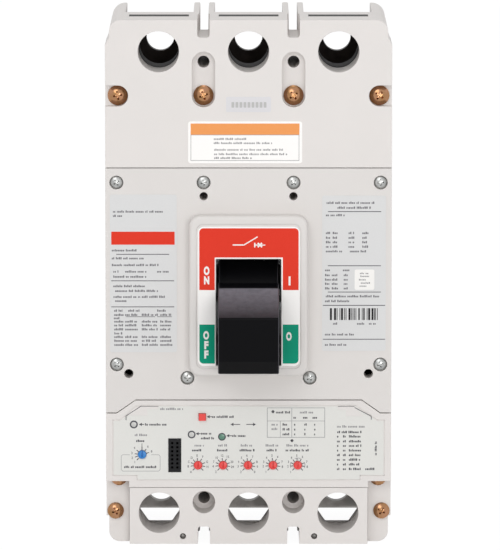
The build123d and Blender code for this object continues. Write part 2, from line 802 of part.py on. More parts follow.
with BuildPart() as handle_yoke:
    with BuildSketch(side_plane(yoke_outer, handle_pivot, handle_off)):
        with BuildLine():
            Polyline(*yoke_corners, close=True)
        make_face()
    extrude(amount=2 * yoke_outer)
    with BuildSketch(side_plane(yoke_inner, handle_pivot, handle_off)):
        with Locations((yoke_front - yoke_plate - yoke_opening[0] / 2, 0)):
            Rectangle(*yoke_opening)
    extrude(amount=2 * yoke_inner, mode=Mode.SUBTRACT)
    for x_span in both_sides(yoke_inner, yoke_outer):
        cross_pin(handle_pivot, handle_pin_radius + pin_gap, x_span, Mode.SUBTRACT)
keep(handle_yoke.part, "handle_yoke")

spring_radius = 2.6
spring_x = 3.2
spring_end_gap = 9.0
spring_front = reach(handle_pivot, 21.5, handle_off)
spring_length, spring_angle = span(spring_front, knee)

spring_turn = math.radians(spring_angle)
spring_direction = (0, -math.cos(spring_turn), math.sin(spring_turn))

with BuildPart() as main_springs:
    for x in (-spring_x, spring_x):
        coil = spring_length - spring_end_gap
        with BuildSketch(side_plane(x, spring_front, spring_angle)):
            with BuildLine():
                Polyline((0, 0), (0, spring_radius), (coil, spring_radius), (coil, 0), close=True)
            make_face()
        revolve(axis=Axis((x, -spring_front[0], spring_front[1]), spring_direction))
keep(main_springs.part, "main_springs")

# ---------------------------------------------------------------- trip unit
trip_back = 61.0
trip_wall = 2.0
plate_front = 95.3
dial_radius = 2.0
dial_gap = 0.08
dial_points = {
    "maintenance_dial": (-52.0, -84.3),
    "long_pickup_dial": (-24.7, -89.6),
    "long_time_dial": (-12.5, -89.6),
    "short_pickup_dial": (-0.3, -89.6),
    "short_time_dial": (11.9, -89.6),
    "ground_pickup_dial": (24.0, -89.6),
}
dial_back = 89.0
dial_front = 95.9
dial_slot = 0.7
dial_slot_depth = 0.8
dial_slot_z = (-1.2, 3.0)
plate_hole_gap = 0.4
board_back = 82.0
board_front = 83.6
board_x = (-60.0, 60.0)
board_z = (-92.3, -70.5)
dial_base = (3.5, 3.4)
dial_base_gap = 0.3
chip_points = [(6.0, -77.0), (36.0, -82.0), (50.0, -84.0)]
chip_half = (5.5, 4.0)
chip_height = 2.0
button_point = (-22.6, -65.7)
button_half = 1.7
button_front = 96.6
button_back = 88.0
stem_back = 78.0
lens_points = [(-56.0, -69.4), (-27.8, -74.4), (-13.0, -75.5)]
lens_radius = 1.6
lens_back = 90.0
lens_seat_gap = 0.5
lens_rise = 0.1
connector_x = (-39.2, -32.9)
connector_z = (-93.0, -76.3)
connector_rise = 0.2
connector_pitch = (2.54, 2.0)
contact_size = 1.1
contact_depth = 6.0
button_gap = 0.15
button_guide_depth = (79.5, 81.0)
button_guide_z = (-70.0, -62.2)
button_guide_side = 2.0
button_hole_depth = 92.0
stem_radius = 1.2
stem_hole = 1.35
coil_radius = 2.2
coil_bore = 1.5
coil_depth = (81.0, 85.2)
actuator_point = (22.0, -72.0)
actuator_radius = 6.5
actuator_bottom = -89.0
actuator_length = 22.0
plunger_bottom = -85.0
plunger_length = 22.8
journal_radius = 2.0
journal_block_x = (31.2, 34.0)
trip_bar_radius = 3.0
trip_bar_half = 30.9
journal_block_depth = (70.0, 78.0)
journal_block_top = -51.2
button_arm_window = ((-26.5, -18.5), 79.0)
plunger_arm_window = ((15.0, 29.0), 82.0)
arm_window_z = (-62.3, -60.0)

with BuildPart() as trip_unit_housing:
    extrude(polygon(front_plane(trip_back), trip_corners), amount=face_depth - trip_back)
    with BuildSketch(front_plane(trip_back)):
        add(polygon(front_plane(trip_back), trip_corners))
        offset(amount=-trip_wall, kind=Kind.INTERSECTION)
    extrude(amount=face_depth - trip_back - trip_wall, mode=Mode.SUBTRACT)
    for x, z in dial_points.values():
        round_bar(x, z, dial_radius + dial_gap, (dial_back, face_depth), Mode.SUBTRACT)
    for x, z in lens_points:
        round_bar(x, z, lens_radius, (lens_back, face_depth), Mode.SUBTRACT)
    slab(connector_x, (lens_back, face_depth), connector_z, Mode.SUBTRACT)
    button_reach = button_half + button_gap
    button_x = (button_point[0] - button_reach, button_point[0] + button_reach)
    button_z = (button_point[1] - button_reach, button_point[1] + button_reach)
    guide_x = (button_x[0] - button_guide_side, button_x[1] + button_guide_side)
    slab(guide_x, button_guide_depth, button_guide_z)
    slab(button_x, (button_hole_depth, face_depth), button_z, Mode.SUBTRACT)
    round_bar(*button_point, stem_hole, button_guide_depth, Mode.SUBTRACT)
    for window_x, window_front in (button_arm_window, plunger_arm_window):
        slab(window_x, (trip_back, window_front), arm_window_z, Mode.SUBTRACT)
    for x_span in both_sides(*journal_block_x):
        slab(x_span, journal_block_depth, (trip_top, journal_block_top))
        cross_pin(trip_axis, journal_radius + pin_gap, x_span, Mode.SUBTRACT)
keep(trip_unit_housing.part, "trip_unit_housing")

plate_corners = mirrored([
    (52.0, -60.5), (59.3, -65.4), (62.8, -67.7), (65.9, -67.7), (65.9, -94.4),
    (54.2, -94.4), (54.2, -96.6),
])

with BuildPart() as trip_face_plate:
    extrude(polygon(front_plane(face_depth), plate_corners), amount=plate_front - face_depth)
    for x, z in dial_points.values():
        round_bar(x, z, dial_radius + plate_hole_gap, (face_depth, plate_front), Mode.SUBTRACT)
    for x, z in lens_points:
        round_bar(x, z, lens_radius, (face_depth, plate_front), Mode.SUBTRACT)
    slab(connector_x, (face_depth, plate_front), connector_z, Mode.SUBTRACT)
    slab(button_x, (face_depth, plate_front), button_z, Mode.SUBTRACT)
keep(trip_face_plate.part, "trip_face_plate")

for name, (x, z) in dial_points.items():
    with BuildPart() as dial:
        round_bar(x, z, dial_radius, (dial_back, dial_front))
        slot_x = (x - dial_slot / 2, x + dial_slot / 2)
        slot_z = (z + dial_slot_z[0], z + dial_slot_z[1])
        slab(slot_x, (dial_front - dial_slot_depth, dial_front), slot_z, Mode.SUBTRACT)
    keep(dial.part, name)

with BuildPart() as indicator_lenses:
    for x, z in lens_points:
        round_bar(x, z, lens_radius, (lens_back + lens_seat_gap, plate_front + lens_rise))
keep(indicator_lenses.part, "indicator_lenses")

with BuildPart() as test_connector:
    slab(connector_x, (board_front, plate_front + connector_rise), connector_z)
    with BuildSketch(front_plane(plate_front + connector_rise)):
        with Locations((sum(connector_x) / 2, sum(connector_z) / 2)):
            with GridLocations(*connector_pitch, 2, 7):
                Rectangle(contact_size, contact_size)
    extrude(amount=-contact_depth, mode=Mode.SUBTRACT)
keep(test_connector.part, "test_connector")

with BuildPart() as trip_circuit_board:
    slab(board_x, (board_back, board_front), board_z)
    for x, z in dial_points.values():
        base_x = (x - dial_base[0], x + dial_base[0])
        base_z = (z - dial_base[1], z + dial_base[1])
        slab(base_x, (board_front, dial_back - dial_base_gap), base_z)
    for x, z in chip_points:
        chip_x = (x - chip_half[0], x + chip_half[0])
        chip_z = (z - chip_half[1], z + chip_half[1])
        slab(chip_x, (board_front, board_front + chip_height), chip_z)
keep(trip_circuit_board.part, "trip_circuit_board")

with BuildPart() as trip_button:
    slab(
        (button_point[0] - button_half, button_point[0] + button_half), (button_back, button_front),
        (button_point[1] - button_half, button_point[1] + button_half),
    )
    round_bar(*button_point, stem_radius, (stem_back, button_back))
keep(trip_button.part, "trip_button")

with BuildPart() as trip_button_spring:
    round_bar(*button_point, coil_radius, coil_depth)
    round_bar(*button_point, coil_bore, coil_depth, Mode.SUBTRACT)
keep(trip_button_spring.part, "trip_button_spring")

with BuildPart() as trip_bar:
    cross_pin(trip_axis, trip_bar_radius, (-trip_bar_half, trip_bar_half))
    cross_pin(trip_axis, journal_radius, (-journal_block_x[1], journal_block_x[1]))
    slab((-4.5, 4.5), (73.0, 75.4), (trip_axis[1], -46.0))
    slab((-25.2, -20.0), (72.6, 75.0), (-67.6, trip_axis[1]))
    slab((18.5, 25.5), (70.5, 73.5), (-58.2, trip_axis[1]))
keep(trip_bar.part, "trip_bar")

with BuildPart() as trip_actuator:
    with BuildSketch(Plane.XY.offset(actuator_bottom)):
        with Locations(actuator_point):
            Circle(actuator_radius)
            Circle(journal_radius + pin_gap, mode=Mode.SUBTRACT)
    extrude(amount=actuator_length)
keep(trip_actuator.part, "trip_actuator")

with BuildPart() as trip_plunger:
    with BuildSketch(Plane.XY.offset(plunger_bottom)):
        with Locations(actuator_point):
            Circle(journal_radius)
    extrude(amount=plunger_length)
keep(trip_plunger.part, "trip_plunger")

transformer_half = 15.0
transformer_depth = (rear_wall + 0.2, 43.0)
transformer_z = (-91.0, -68.0)
transformer_round = 3.0

for x, side in zip(pole_x, pole_names):
    with BuildPart() as transformer:
        slab((x - transformer_half, x + transformer_half), transformer_depth, transformer_z)
        fillet(transformer.edges().filter_by(Axis.Z), radius=transformer_round)
        slab((x - bar_half, x + bar_half), (bar_back, bar_front), transformer_z, Mode.SUBTRACT)
    keep(transformer.part, f"current_transformer_{side}")

# ---------------------------------------------------------------- fasteners
cross_half = 0.5
cross_depth = 1.2
cover_shank = 2.0
line_head_height = 2.8
load_head_height = 2.6
silver_head_height = 1.9
silver_length = 16.0
load_cover_head_height = 1.3
load_cover_length = 30.0


def pan_screw(x, z, head_radius, seat, head_height, shank_radius, shank_length):
    """A pan-head screw with a cross recess, its head seated at a depth."""
    top = seat + head_height
    half = head_radius / 2
    recess = (top - cross_depth, top)
    round_bar(x, z, head_radius, (seat, top))
    round_bar(x, z, shank_radius, (seat - shank_length, seat))
    slab((x - cross_half, x + cross_half), recess, (z - half, z + half), Mode.SUBTRACT)
    slab((x - half, x + half), recess, (z - cross_half, z + cross_half), Mode.SUBTRACT)


with BuildPart() as cover_screws:
    for x, z in cover_screw_points:
        seat = screw_recess_floor if z > 0 else corner_floor
        head_height = line_head_height if z > 0 else load_head_height
        pan_screw(x, z, head_radius_at(z), seat, head_height, cover_shank, seat - insert_back)
keep(cover_screws.part, "cover_screws")

with BuildPart() as accessory_screws:
    for x, z in silver_points:
        pan_screw(
            x, z, silver_head_radius, silver_seat, silver_head_height, silver_shank, silver_length,
        )
keep(accessory_screws.part, "accessory_screws")

with BuildPart() as load_cover_screws:
    for x, z in load_screw_points:
        pan_screw(
            x, z, load_cover_head, load_seat, load_cover_head_height, load_shank, load_cover_length,
        )
keep(load_cover_screws.part, "load_cover_screws")

# ---------------------------------------------------------------- labels
label_thickness = 0.2
window_margin = 0.3
window_corner = 0.6


def label(x_span, z_span, depth, radius):
    """A thin rounded sticker on a front face."""
    with BuildPart() as sticker:
        with BuildSketch(front_plane(depth)):
            with Locations((sum(x_span) / 2, sum(z_span) / 2)):
                RectangleRounded(x_span[1] - x_span[0], z_span[1] - z_span[0], radius)
        extrude(amount=label_thickness)
    return sticker.part


with BuildPart() as rating_labels:
    add(label((-67.4, -34.9), (-33.8, 43.6), face_depth, 1.0))
    add(label((35.8, 66.8), (-33.1, 43.1), face_depth, 1.0))
keep(rating_labels.part, "rating_labels")
keep(label((-29.3, 26.0), (58.9, 79.3), face_depth, 1.2), "write_on_label")
keep(label((-10.9, 10.9), (83.9, 91.3), face_depth, 0.8), "number_plate")

with BuildPart() as handle_label:
    add(label((-24.6, 24.9), (-39.4, 28.9), escutcheon_depth - escutcheon_recess, 3.0))
    with BuildSketch(front_plane(escutcheon_back)):
        with Locations((0, (aperture_top + aperture_bottom) / 2)):
            window_width = 2 * (aperture_half + window_margin)
            window_height = aperture_top - aperture_bottom + 2 * window_margin
            RectangleRounded(window_width, window_height, window_corner)
    extrude(amount=escutcheon_depth - escutcheon_back, mode=Mode.SUBTRACT)
keep(handle_label.part, "handle_label")
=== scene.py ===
import bpy
import json
import math
import random
from mathutils import Matrix, Vector

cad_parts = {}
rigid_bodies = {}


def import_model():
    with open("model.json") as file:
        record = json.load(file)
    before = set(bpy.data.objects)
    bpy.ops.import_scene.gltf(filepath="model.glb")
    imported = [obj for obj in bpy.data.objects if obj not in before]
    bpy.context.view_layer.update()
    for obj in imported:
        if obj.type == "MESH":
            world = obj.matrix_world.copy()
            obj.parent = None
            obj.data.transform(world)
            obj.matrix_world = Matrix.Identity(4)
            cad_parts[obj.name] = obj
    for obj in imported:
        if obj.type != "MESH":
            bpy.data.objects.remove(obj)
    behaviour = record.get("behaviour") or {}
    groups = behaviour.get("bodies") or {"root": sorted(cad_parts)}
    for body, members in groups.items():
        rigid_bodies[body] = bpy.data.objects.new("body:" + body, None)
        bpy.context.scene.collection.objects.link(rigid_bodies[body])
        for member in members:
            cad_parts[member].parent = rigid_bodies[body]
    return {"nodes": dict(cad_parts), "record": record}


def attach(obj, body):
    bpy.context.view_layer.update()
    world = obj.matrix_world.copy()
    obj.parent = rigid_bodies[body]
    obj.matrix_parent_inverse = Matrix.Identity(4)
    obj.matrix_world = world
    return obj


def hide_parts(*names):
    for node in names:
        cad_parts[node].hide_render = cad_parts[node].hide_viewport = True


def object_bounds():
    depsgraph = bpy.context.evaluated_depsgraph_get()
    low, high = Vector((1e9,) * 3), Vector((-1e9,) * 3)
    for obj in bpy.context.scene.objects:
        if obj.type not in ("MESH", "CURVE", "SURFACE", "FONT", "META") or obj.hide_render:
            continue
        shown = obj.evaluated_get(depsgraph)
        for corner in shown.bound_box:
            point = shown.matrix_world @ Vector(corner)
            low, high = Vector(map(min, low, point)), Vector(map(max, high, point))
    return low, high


# Molded case breaker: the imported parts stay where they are, this file gives them their finish
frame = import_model()
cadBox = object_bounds()
mm = 0.001
upright = (math.pi / 2, 0, 0)  # turns a flat shape drawn on XY to face the front
bpy.ops.object.select_all(action="DESELECT")
print("frame loaded,", len(frame["nodes"]), "nodes")


# colours and materials: codes are screen colours, sizes are in millimetres
def linear(code):
    parts = [int(code[i:i + 2], 16) / 255 for i in (1, 3, 5)]
    return [c / 12.92 if c <= 0.04045 else ((c + 0.055) / 1.055) ** 2.4 for c in parts] + [1.0]


def addNode(tree, kind, settings=None, links=None):
    node = tree.nodes.new(kind)
    for key, value in (settings or {}).items():
        if isinstance(key, str) and hasattr(node, key):
            setattr(node, key, value)
        else:
            node.inputs[key].default_value = value
    for key, source in (links or {}).items():
        tree.links.new(source, node.inputs[key])
    return node


def startMaterial(name):
    material = bpy.data.materials.new(name)
    material.use_nodes = True
    tree = material.node_tree
    tree.nodes.clear()
    place = addNode(tree, "ShaderNodeTexCoord")
    return material, tree, place.outputs["Object"]


def finishMaterial(tree, settings, links):
    shader = addNode(tree, "ShaderNodeBsdfPrincipled", settings, links)
    addNode(tree, "ShaderNodeOutputMaterial", {}, {"Surface": shader.outputs["BSDF"]})


def mouldedPolyester(name, look):
    # glass-filled polyester moulding: a fine spark-eroded grain and a faint cloud in the colour
    material, tree, place = startMaterial(name)
    grain = addNode(tree, "ShaderNodeTexNoise", {"Scale": 1 / (look["grain"] * mm), "Detail": 3.0},
                    {"Vector": place})
    cloud = addNode(tree, "ShaderNodeTexNoise", {"Scale": 1 / (look["cloud"] * mm), "Detail": 2.0},
                    {"Vector": place})
    tint = addNode(tree, "ShaderNodeMix", {"data_type": "RGBA", 6: linear(look["color"]),
                   7: linear(look["shade"])}, {0: cloud.outputs["Fac"]})
    rough = addNode(tree, "ShaderNodeMapRange", {"To Min": look["gloss"], "To Max": look["dull"]},
                    {"Value": grain.outputs["Fac"]})
    bump = addNode(tree, "ShaderNodeBump", {"Strength": look["bump"], "Distance": 0.05 * mm},
                   {"Height": grain.outputs["Fac"]})
    finishMaterial(tree, {"IOR": 1.5}, {"Base Color": tint.outputs[2], "Roughness": rough.outputs[0],
                                       "Normal": bump.outputs[0]})
    return material


def blackNylon(name, look):
    # black nylon moulding with a satin polish and fine handling marks
    material, tree, place = startMaterial(name)
    speckle = addNode(tree, "ShaderNodeTexNoise", {"Scale": 1 / (look["grain"] * mm), "Detail": 4.0},
                      {"Vector": place})
    stretch = addNode(tree, "ShaderNodeMapping", {"Scale": (1.0, 0.15, 0.15)}, {"Vector": place})
    marks = addNode(tree, "ShaderNodeTexNoise", {"Scale": 1 / (look["marks"] * mm), "Detail": 5.0},
                    {"Vector": stretch.outputs[0]})
    tint = addNode(tree, "ShaderNodeMix", {"data_type": "RGBA", 6: linear(look["color"]),
                   7: linear(look["shade"])}, {0: speckle.outputs["Fac"]})
    rough = addNode(tree, "ShaderNodeMapRange", {"To Min": look["gloss"], "To Max": look["dull"]},
                    {"Value": marks.outputs["Fac"]})
    bump = addNode(tree, "ShaderNodeBump", {"Strength": look["bump"], "Distance": 0.05 * mm},
                   {"Height": speckle.outputs["Fac"]})
    color = tint.outputs[2]
    # painted highlight: with this look, a light grey is mixed into the colour of the grip's upper face and
    # long edges
    if "paintedSheen" in look:
        color = paintedTopSheen(tree, place, color, look["paintedSheen"])
    finishMaterial(tree, {"IOR": look["ior"]}, {"Base Color": color, "Roughness": rough.outputs[0],
                                                "Normal": bump.outputs[0]})
    return material


def paintedTopSheen(tree, place, color, paintedSheen):
    # painted highlight: the grip's upward-facing upper face is lightened grey, most beside the drum and
    # broken into patches by noise, and its long edges are lightened as a painted edge highlight
    facing = addNode(tree, "ShaderNodeTexCoord")
    parts = addNode(tree, "ShaderNodeSeparateXYZ", {}, {0: facing.outputs["Normal"]})
    upward = addNode(tree, "ShaderNodeMapRange", {"From Min": paintedSheen["upFrom"], "From Max": paintedSheen["upFull"]},
                     {"Value": parts.outputs["Z"]})
    pivot = addNode(tree, "ShaderNodeMapping", {"Location": paintedSheen["pivot"], "Scale": (0, 1, 1)},
                    {"Vector": place})
    reach = addNode(tree, "ShaderNodeVectorMath", {"operation": "LENGTH"}, {0: pivot.outputs[0]})
    fade = addNode(tree, "ShaderNodeMapRange",
                   {"From Min": paintedSheen["inner"] * mm, "From Max": paintedSheen["outer"] * mm, "To Min": 1.0,
                    "To Max": paintedSheen["tip"]}, {"Value": reach.outputs["Value"]})
    edge = addNode(tree, "ShaderNodeMapRange",
                   {"From Min": (paintedSheen["inner"] - paintedSheen["soft"]) * mm,
                    "From Max": (paintedSheen["inner"] + paintedSheen["soft"]) * mm}, {"Value": reach.outputs["Value"]})
    sheenNoise = addNode(tree, "ShaderNodeTexNoise", {"Scale": 1 / (paintedSheen["sheenNoise"] * mm), "Detail": 6.0,
                                                 "Roughness": 0.65}, {"Vector": place})
    patchy = addNode(tree, "ShaderNodeMapRange",
                     {"From Min": paintedSheen["patchFrom"], "From Max": paintedSheen["patchFull"],
                      "To Min": paintedSheen["patchLeast"]}, {"Value": sheenNoise.outputs["Fac"]})
    share = upward
    for part in (edge, fade, patchy):
        share = addNode(tree, "ShaderNodeMath", {"operation": "MULTIPLY"},
                        {0: share.outputs[0], 1: part.outputs[0]})
    # painted edge highlight along the grip's long edges, where the normal turns sideways
    side = addNode(tree, "ShaderNodeMath", {"operation": "ABSOLUTE"}, {0: parts.outputs["X"]})
    started = addNode(tree, "ShaderNodeMapRange",
                      {"From Min": paintedSheen["edgeSheenFrom"], "From Max": paintedSheen["edgeSheenFull"], "To Max": paintedSheen["edgeSheen"]},
                      {"Value": side.outputs[0]})
    ended = addNode(tree, "ShaderNodeMapRange",
                    {"From Min": paintedSheen["edgeSheenEnd"], "From Max": paintedSheen["edgeSheenFalls"]}, {"Value": side.outputs[0]})
    edgeSheenShare = addNode(tree, "ShaderNodeMath", {"operation": "MULTIPLY"},
                     {0: started.outputs[0], 1: ended.outputs[0]})
    share = addNode(tree, "ShaderNodeMath", {"operation": "MAXIMUM"},
                    {0: share.outputs[0], 1: edgeSheenShare.outputs[0]})
    mix = addNode(tree, "ShaderNodeMix", {"data_type": "RGBA", 7: linear(paintedSheen["color"])},
                  {0: share.outputs[0], 6: color})
    return mix.outputs[2]


def platedMetal(name, look):
    # plated steel or copper: two close plating tones, with roughness that follows the plating
    material, tree, place = startMaterial(name)
    tone = addNode(tree, "ShaderNodeTexNoise", {"Scale": 1 / (look["tone"] * mm), "Detail": 3.0},
                   {"Vector": place})
    fine = addNode(tree, "ShaderNodeTexNoise", {"Scale": 1 / (look["grain"] * mm), "Detail": 4.0},
                   {"Vector": place})
    ramp = addNode(tree, "ShaderNodeMapRange", {"From Min": 0.35, "From Max": 0.65},
                   {"Value": tone.outputs["Fac"]})
    tint = addNode(tree, "ShaderNodeMix", {"data_type": "RGBA", 6: linear(look["color"]),
                   7: linear(look["shade"])}, {0: ramp.outputs[0]})
    rough = addNode(tree, "ShaderNodeMapRange", {"To Min": look["gloss"], "To Max": look["dull"]},
                    {"Value": fine.outputs["Fac"]})
    bump = addNode(tree, "ShaderNodeBump", {"Strength": look["bump"], "Distance": 0.03 * mm},
                   {"Height": fine.outputs["Fac"]})
    finishMaterial(tree, {"Metallic": 1.0}, {"Base Color": tint.outputs[2],
                                            "Roughness": rough.outputs[0], "Normal": bump.outputs[0]})
    return material


def printedFilm(name, look):
    # printed polyester film: smooth, with a faint fibre cast from the backing
    material, tree, place = startMaterial(name)
    fibre = addNode(tree, "ShaderNodeTexNoise", {"Scale": 1 / (look["grain"] * mm), "Detail": 2.0},
                    {"Vector": place})
    tint = addNode(tree, "ShaderNodeMix", {"data_type": "RGBA", 6: linear(look["color"]),
                   7: linear(look["shade"])}, {0: fibre.outputs["Fac"]})
    rough = addNode(tree, "ShaderNodeMapRange", {"To Min": look["gloss"], "To Max": look["dull"]},
                    {"Value": fibre.outputs["Fac"]})
    finishMaterial(tree, {"IOR": 1.2}, {"Base Color": tint.outputs[2], "Roughness": rough.outputs[0]})
    return material


casePlastic = mouldedPolyester("casePolyester", {
    "color": "#E0DBD8", "shade": "#DBD7D4", "grain": 0.5, "cloud": 18.0, "gloss": 0.42, "dull": 0.58,
    "bump": 0.12})
coverPlastic = mouldedPolyester("coverPolyester", {
    "color": "#DBD7D4", "shade": "#D7D3D0", "grain": 0.5, "cloud": 22.0, "gloss": 0.42, "dull": 0.58,
    "bump": 0.12})
phenolic = mouldedPolyester("darkPhenolic", {
    "color": "#3A332D", "shade": "#2F2924", "grain": 0.6, "cloud": 9.0, "gloss": 0.4, "dull": 0.6,
    "bump": 0.2})
fibreBoard = mouldedPolyester("vulcanisedFibre", {
    "color": "#8A5A3C", "shade": "#76492E", "grain": 0.8, "cloud": 6.0, "gloss": 0.6, "dull": 0.8,
    "bump": 0.3})
boardGreen = mouldedPolyester("solderMaskedBoard", {
    "color": "#2C6B47", "shade": "#24593B", "grain": 0.6, "cloud": 5.0, "gloss": 0.3, "dull": 0.45,
    "bump": 0.1})
redNylon = mouldedPolyester("redNylon", {
    "color": "#E8403C", "shade": "#DC3531", "grain": 0.4, "cloud": 3.0, "gloss": 0.3, "dull": 0.45,
    "bump": 0.1})
blueNylon = mouldedPolyester("blueNylon", {
    "color": "#1D7FCB", "shade": "#1873BD", "grain": 0.4, "cloud": 3.0, "gloss": 0.3, "dull": 0.45,
    "bump": 0.1})
# the grip carries a painted highlight: a light grey mixed into its upper face and long edges
handleBlack = blackNylon("handleNylon", {
    "color": "#0A0A0D", "shade": "#070709", "grain": 0.45, "marks": 2.5, "gloss": 0.36, "dull": 0.5,
    "bump": 0.25, "ior": 1.16, "paintedSheen": {
        "color": "#807E86", "pivot": (0, 71.9 * mm, 12.8 * mm), "inner": 36.2, "outer": 62.0,
        "soft": 0.4, "tip": 0.12, "upFrom": 0.78, "upFull": 0.88, "sheenNoise": 3.2, "patchFrom": 0.36,
        "patchFull": 0.58, "patchLeast": 0.8, "edgeSheen": 0.35, "edgeSheenFrom": 0.3, "edgeSheenFull": 0.5,
        "edgeSheenFalls": 0.88, "edgeSheenEnd": 0.96}})
socketBlack = blackNylon("socketNylon", {
    "color": "#0F1014", "shade": "#0A0A0C", "grain": 0.5, "marks": 2.0, "gloss": 0.45, "dull": 0.6,
    "bump": 0.2, "ior": 1.3})
yellowZinc = platedMetal("yellowZincPlate", {
    "color": "#B08365", "shade": "#A07851", "tone": 3.0, "grain": 0.3, "gloss": 0.14, "dull": 0.24,
    "bump": 0.1})
brightZinc = platedMetal("brightZincPlate", {
    "color": "#BBBBB9", "shade": "#A2A4A3", "tone": 2.5, "grain": 0.3, "gloss": 0.24, "dull": 0.36,
    "bump": 0.1})
# painted shade: zinc darkened to stand in for the shade of the recesses round the end cover screws
recessShadeZinc = platedMetal("recessShadeZincPlate", {
    "color": "#8C8A87", "shade": "#6E6C6A", "tone": 1.5, "grain": 0.3, "gloss": 0.25, "dull": 0.4,
    "bump": 0.1})
rolledSteel = platedMetal("zincPlatedSheet", {
    "color": "#B9BABB", "shade": "#A4A6A8", "tone": 6.0, "grain": 0.4, "gloss": 0.35, "dull": 0.5,
    "bump": 0.15})
springWire = platedMetal("springWire", {
    "color": "#8B8C8F", "shade": "#77787B", "tone": 2.0, "grain": 0.3, "gloss": 0.3, "dull": 0.4,
    "bump": 0.1})
# partly painted shade: the tin plate colour, darkened for the shade on the bars seen deep in the load-end
# bores
tinnedBar = platedMetal("tinPlatedCopper", {
    "color": "#8F8C88", "shade": "#7A7673", "tone": 5.0, "grain": 0.4, "gloss": 0.4, "dull": 0.55,
    "bump": 0.15})
bareCopper = platedMetal("bareCopper", {
    "color": "#D08A63", "shade": "#B87350", "tone": 6.0, "grain": 0.4, "gloss": 0.3, "dull": 0.45,
    "bump": 0.1})
silverAlloy = platedMetal("silverContactAlloy", {
    "color": "#DAD9D4", "shade": "#C4C2BC", "tone": 2.0, "grain": 0.3, "gloss": 0.35, "dull": 0.5,
    "bump": 0.2})
turnedBrass = platedMetal("turnedBrass", {
    "color": "#D9B76A", "shade": "#C7A355", "tone": 3.0, "grain": 0.3, "gloss": 0.25, "dull": 0.35,
    "bump": 0.1})
windingVarnish = mouldedPolyester("varnishedWinding", {
    "color": "#4A3A2C", "shade": "#3A2C20", "grain": 1.2, "cloud": 6.0, "gloss": 0.25, "dull": 0.5,
    "bump": 0.5})
silverFilm = printedFilm("silverGreyFilm", {
    "color": "#DBDBDB", "shade": "#D6D6D6", "grain": 0.8, "gloss": 0.35, "dull": 0.45})
whiteFilm = printedFilm("whiteFilm", {
    "color": "#FBF9F7", "shade": "#F8F6F4", "grain": 0.8, "gloss": 0.35, "dull": 0.45})
plateFilm = printedFilm("clearPlateFilm", {
    "color": "#DCDADC", "shade": "#D6D5D8", "grain": 0.8, "gloss": 0.3, "dull": 0.4})
faceFilm = printedFilm("facePlateFilm", {
    "color": "#E0DFDB", "shade": "#DCDCD8", "grain": 0.8, "gloss": 0.35, "dull": 0.45})
redInk = printedFilm("redInk", {
    "color": "#E13A27", "shade": "#DC3623", "grain": 0.6, "gloss": 0.35, "dull": 0.45})
greenInk = printedFilm("greenInk", {
    "color": "#009878", "shade": "#009173", "grain": 0.6, "gloss": 0.35, "dull": 0.45})
orangeInk = printedFilm("orangeInk", {
    "color": "#F0A060", "shade": "#EC9A58", "grain": 0.6, "gloss": 0.35, "dull": 0.45})
whiteInk = printedFilm("whiteInk", {
    "color": "#F4F2EF", "shade": "#F0EEEB", "grain": 0.6, "gloss": 0.35, "dull": 0.45})
darkInk = printedFilm("darkGreyInk", {
    "color": "#55545A", "shade": "#4C4B50", "grain": 0.6, "gloss": 0.4, "dull": 0.5})
softInk = printedFilm("softGreyInk", {
    "color": "#9A999B", "shade": "#929193", "grain": 0.6, "gloss": 0.4, "dull": 0.5})
middleInk = printedFilm("middleGreyInk", {
    "color": "#77767A", "shade": "#6E6D71", "grain": 0.6, "gloss": 0.4, "dull": 0.5})
paleInk = printedFilm("paleGreyInk", {
    "color": "#BDBCBB", "shade": "#B7B6B5", "grain": 0.6, "gloss": 0.4, "dull": 0.5})
blackInk = printedFilm("blackInk", {
    "color": "#2C2A2C", "shade": "#262426", "grain": 0.6, "gloss": 0.4, "dull": 0.5})
lensPlastic = mouldedPolyester("frostedLens", {
    "color": "#C9C9C6", "shade": "#BFBFBC", "grain": 0.3, "cloud": 1.5, "gloss": 0.2, "dull": 0.3,
    "bump": 0.05})
greenLens = mouldedPolyester("greenLens", {
    "color": "#5E8A76", "shade": "#4F7A67", "grain": 0.3, "cloud": 1.5, "gloss": 0.2, "dull": 0.3,
    "bump": 0.05})
# painted shade: a near-black finish that stands in for the shade inside the arc gas slots
slotShadeScreen = mouldedPolyester("paintedShadeScreen", {
    "color": "#1C1A18", "shade": "#141312", "grain": 0.5, "cloud": 4.0, "gloss": 0.6, "dull": 0.8,
    "bump": 0.2})
# painted shade: the line bars' colour darkened to near black for the shade deep in their bores
shadedLineBar = platedMetal("paintedShadeCopper", {
    "color": "#2A2624", "shade": "#1E1B1A", "tone": 5.0, "grain": 0.4, "gloss": 0.5, "dull": 0.65,
    "bump": 0.15})
# painted shade: a near-black finish for the tubes that stand in for the shade deep in the line-end bores
paintedShadeLiner = mouldedPolyester("paintedShadeLiner", {
    "color": "#17161A", "shade": "#100F12", "grain": 0.6, "cloud": 5.0, "gloss": 0.6, "dull": 0.8,
    "bump": 0.2})

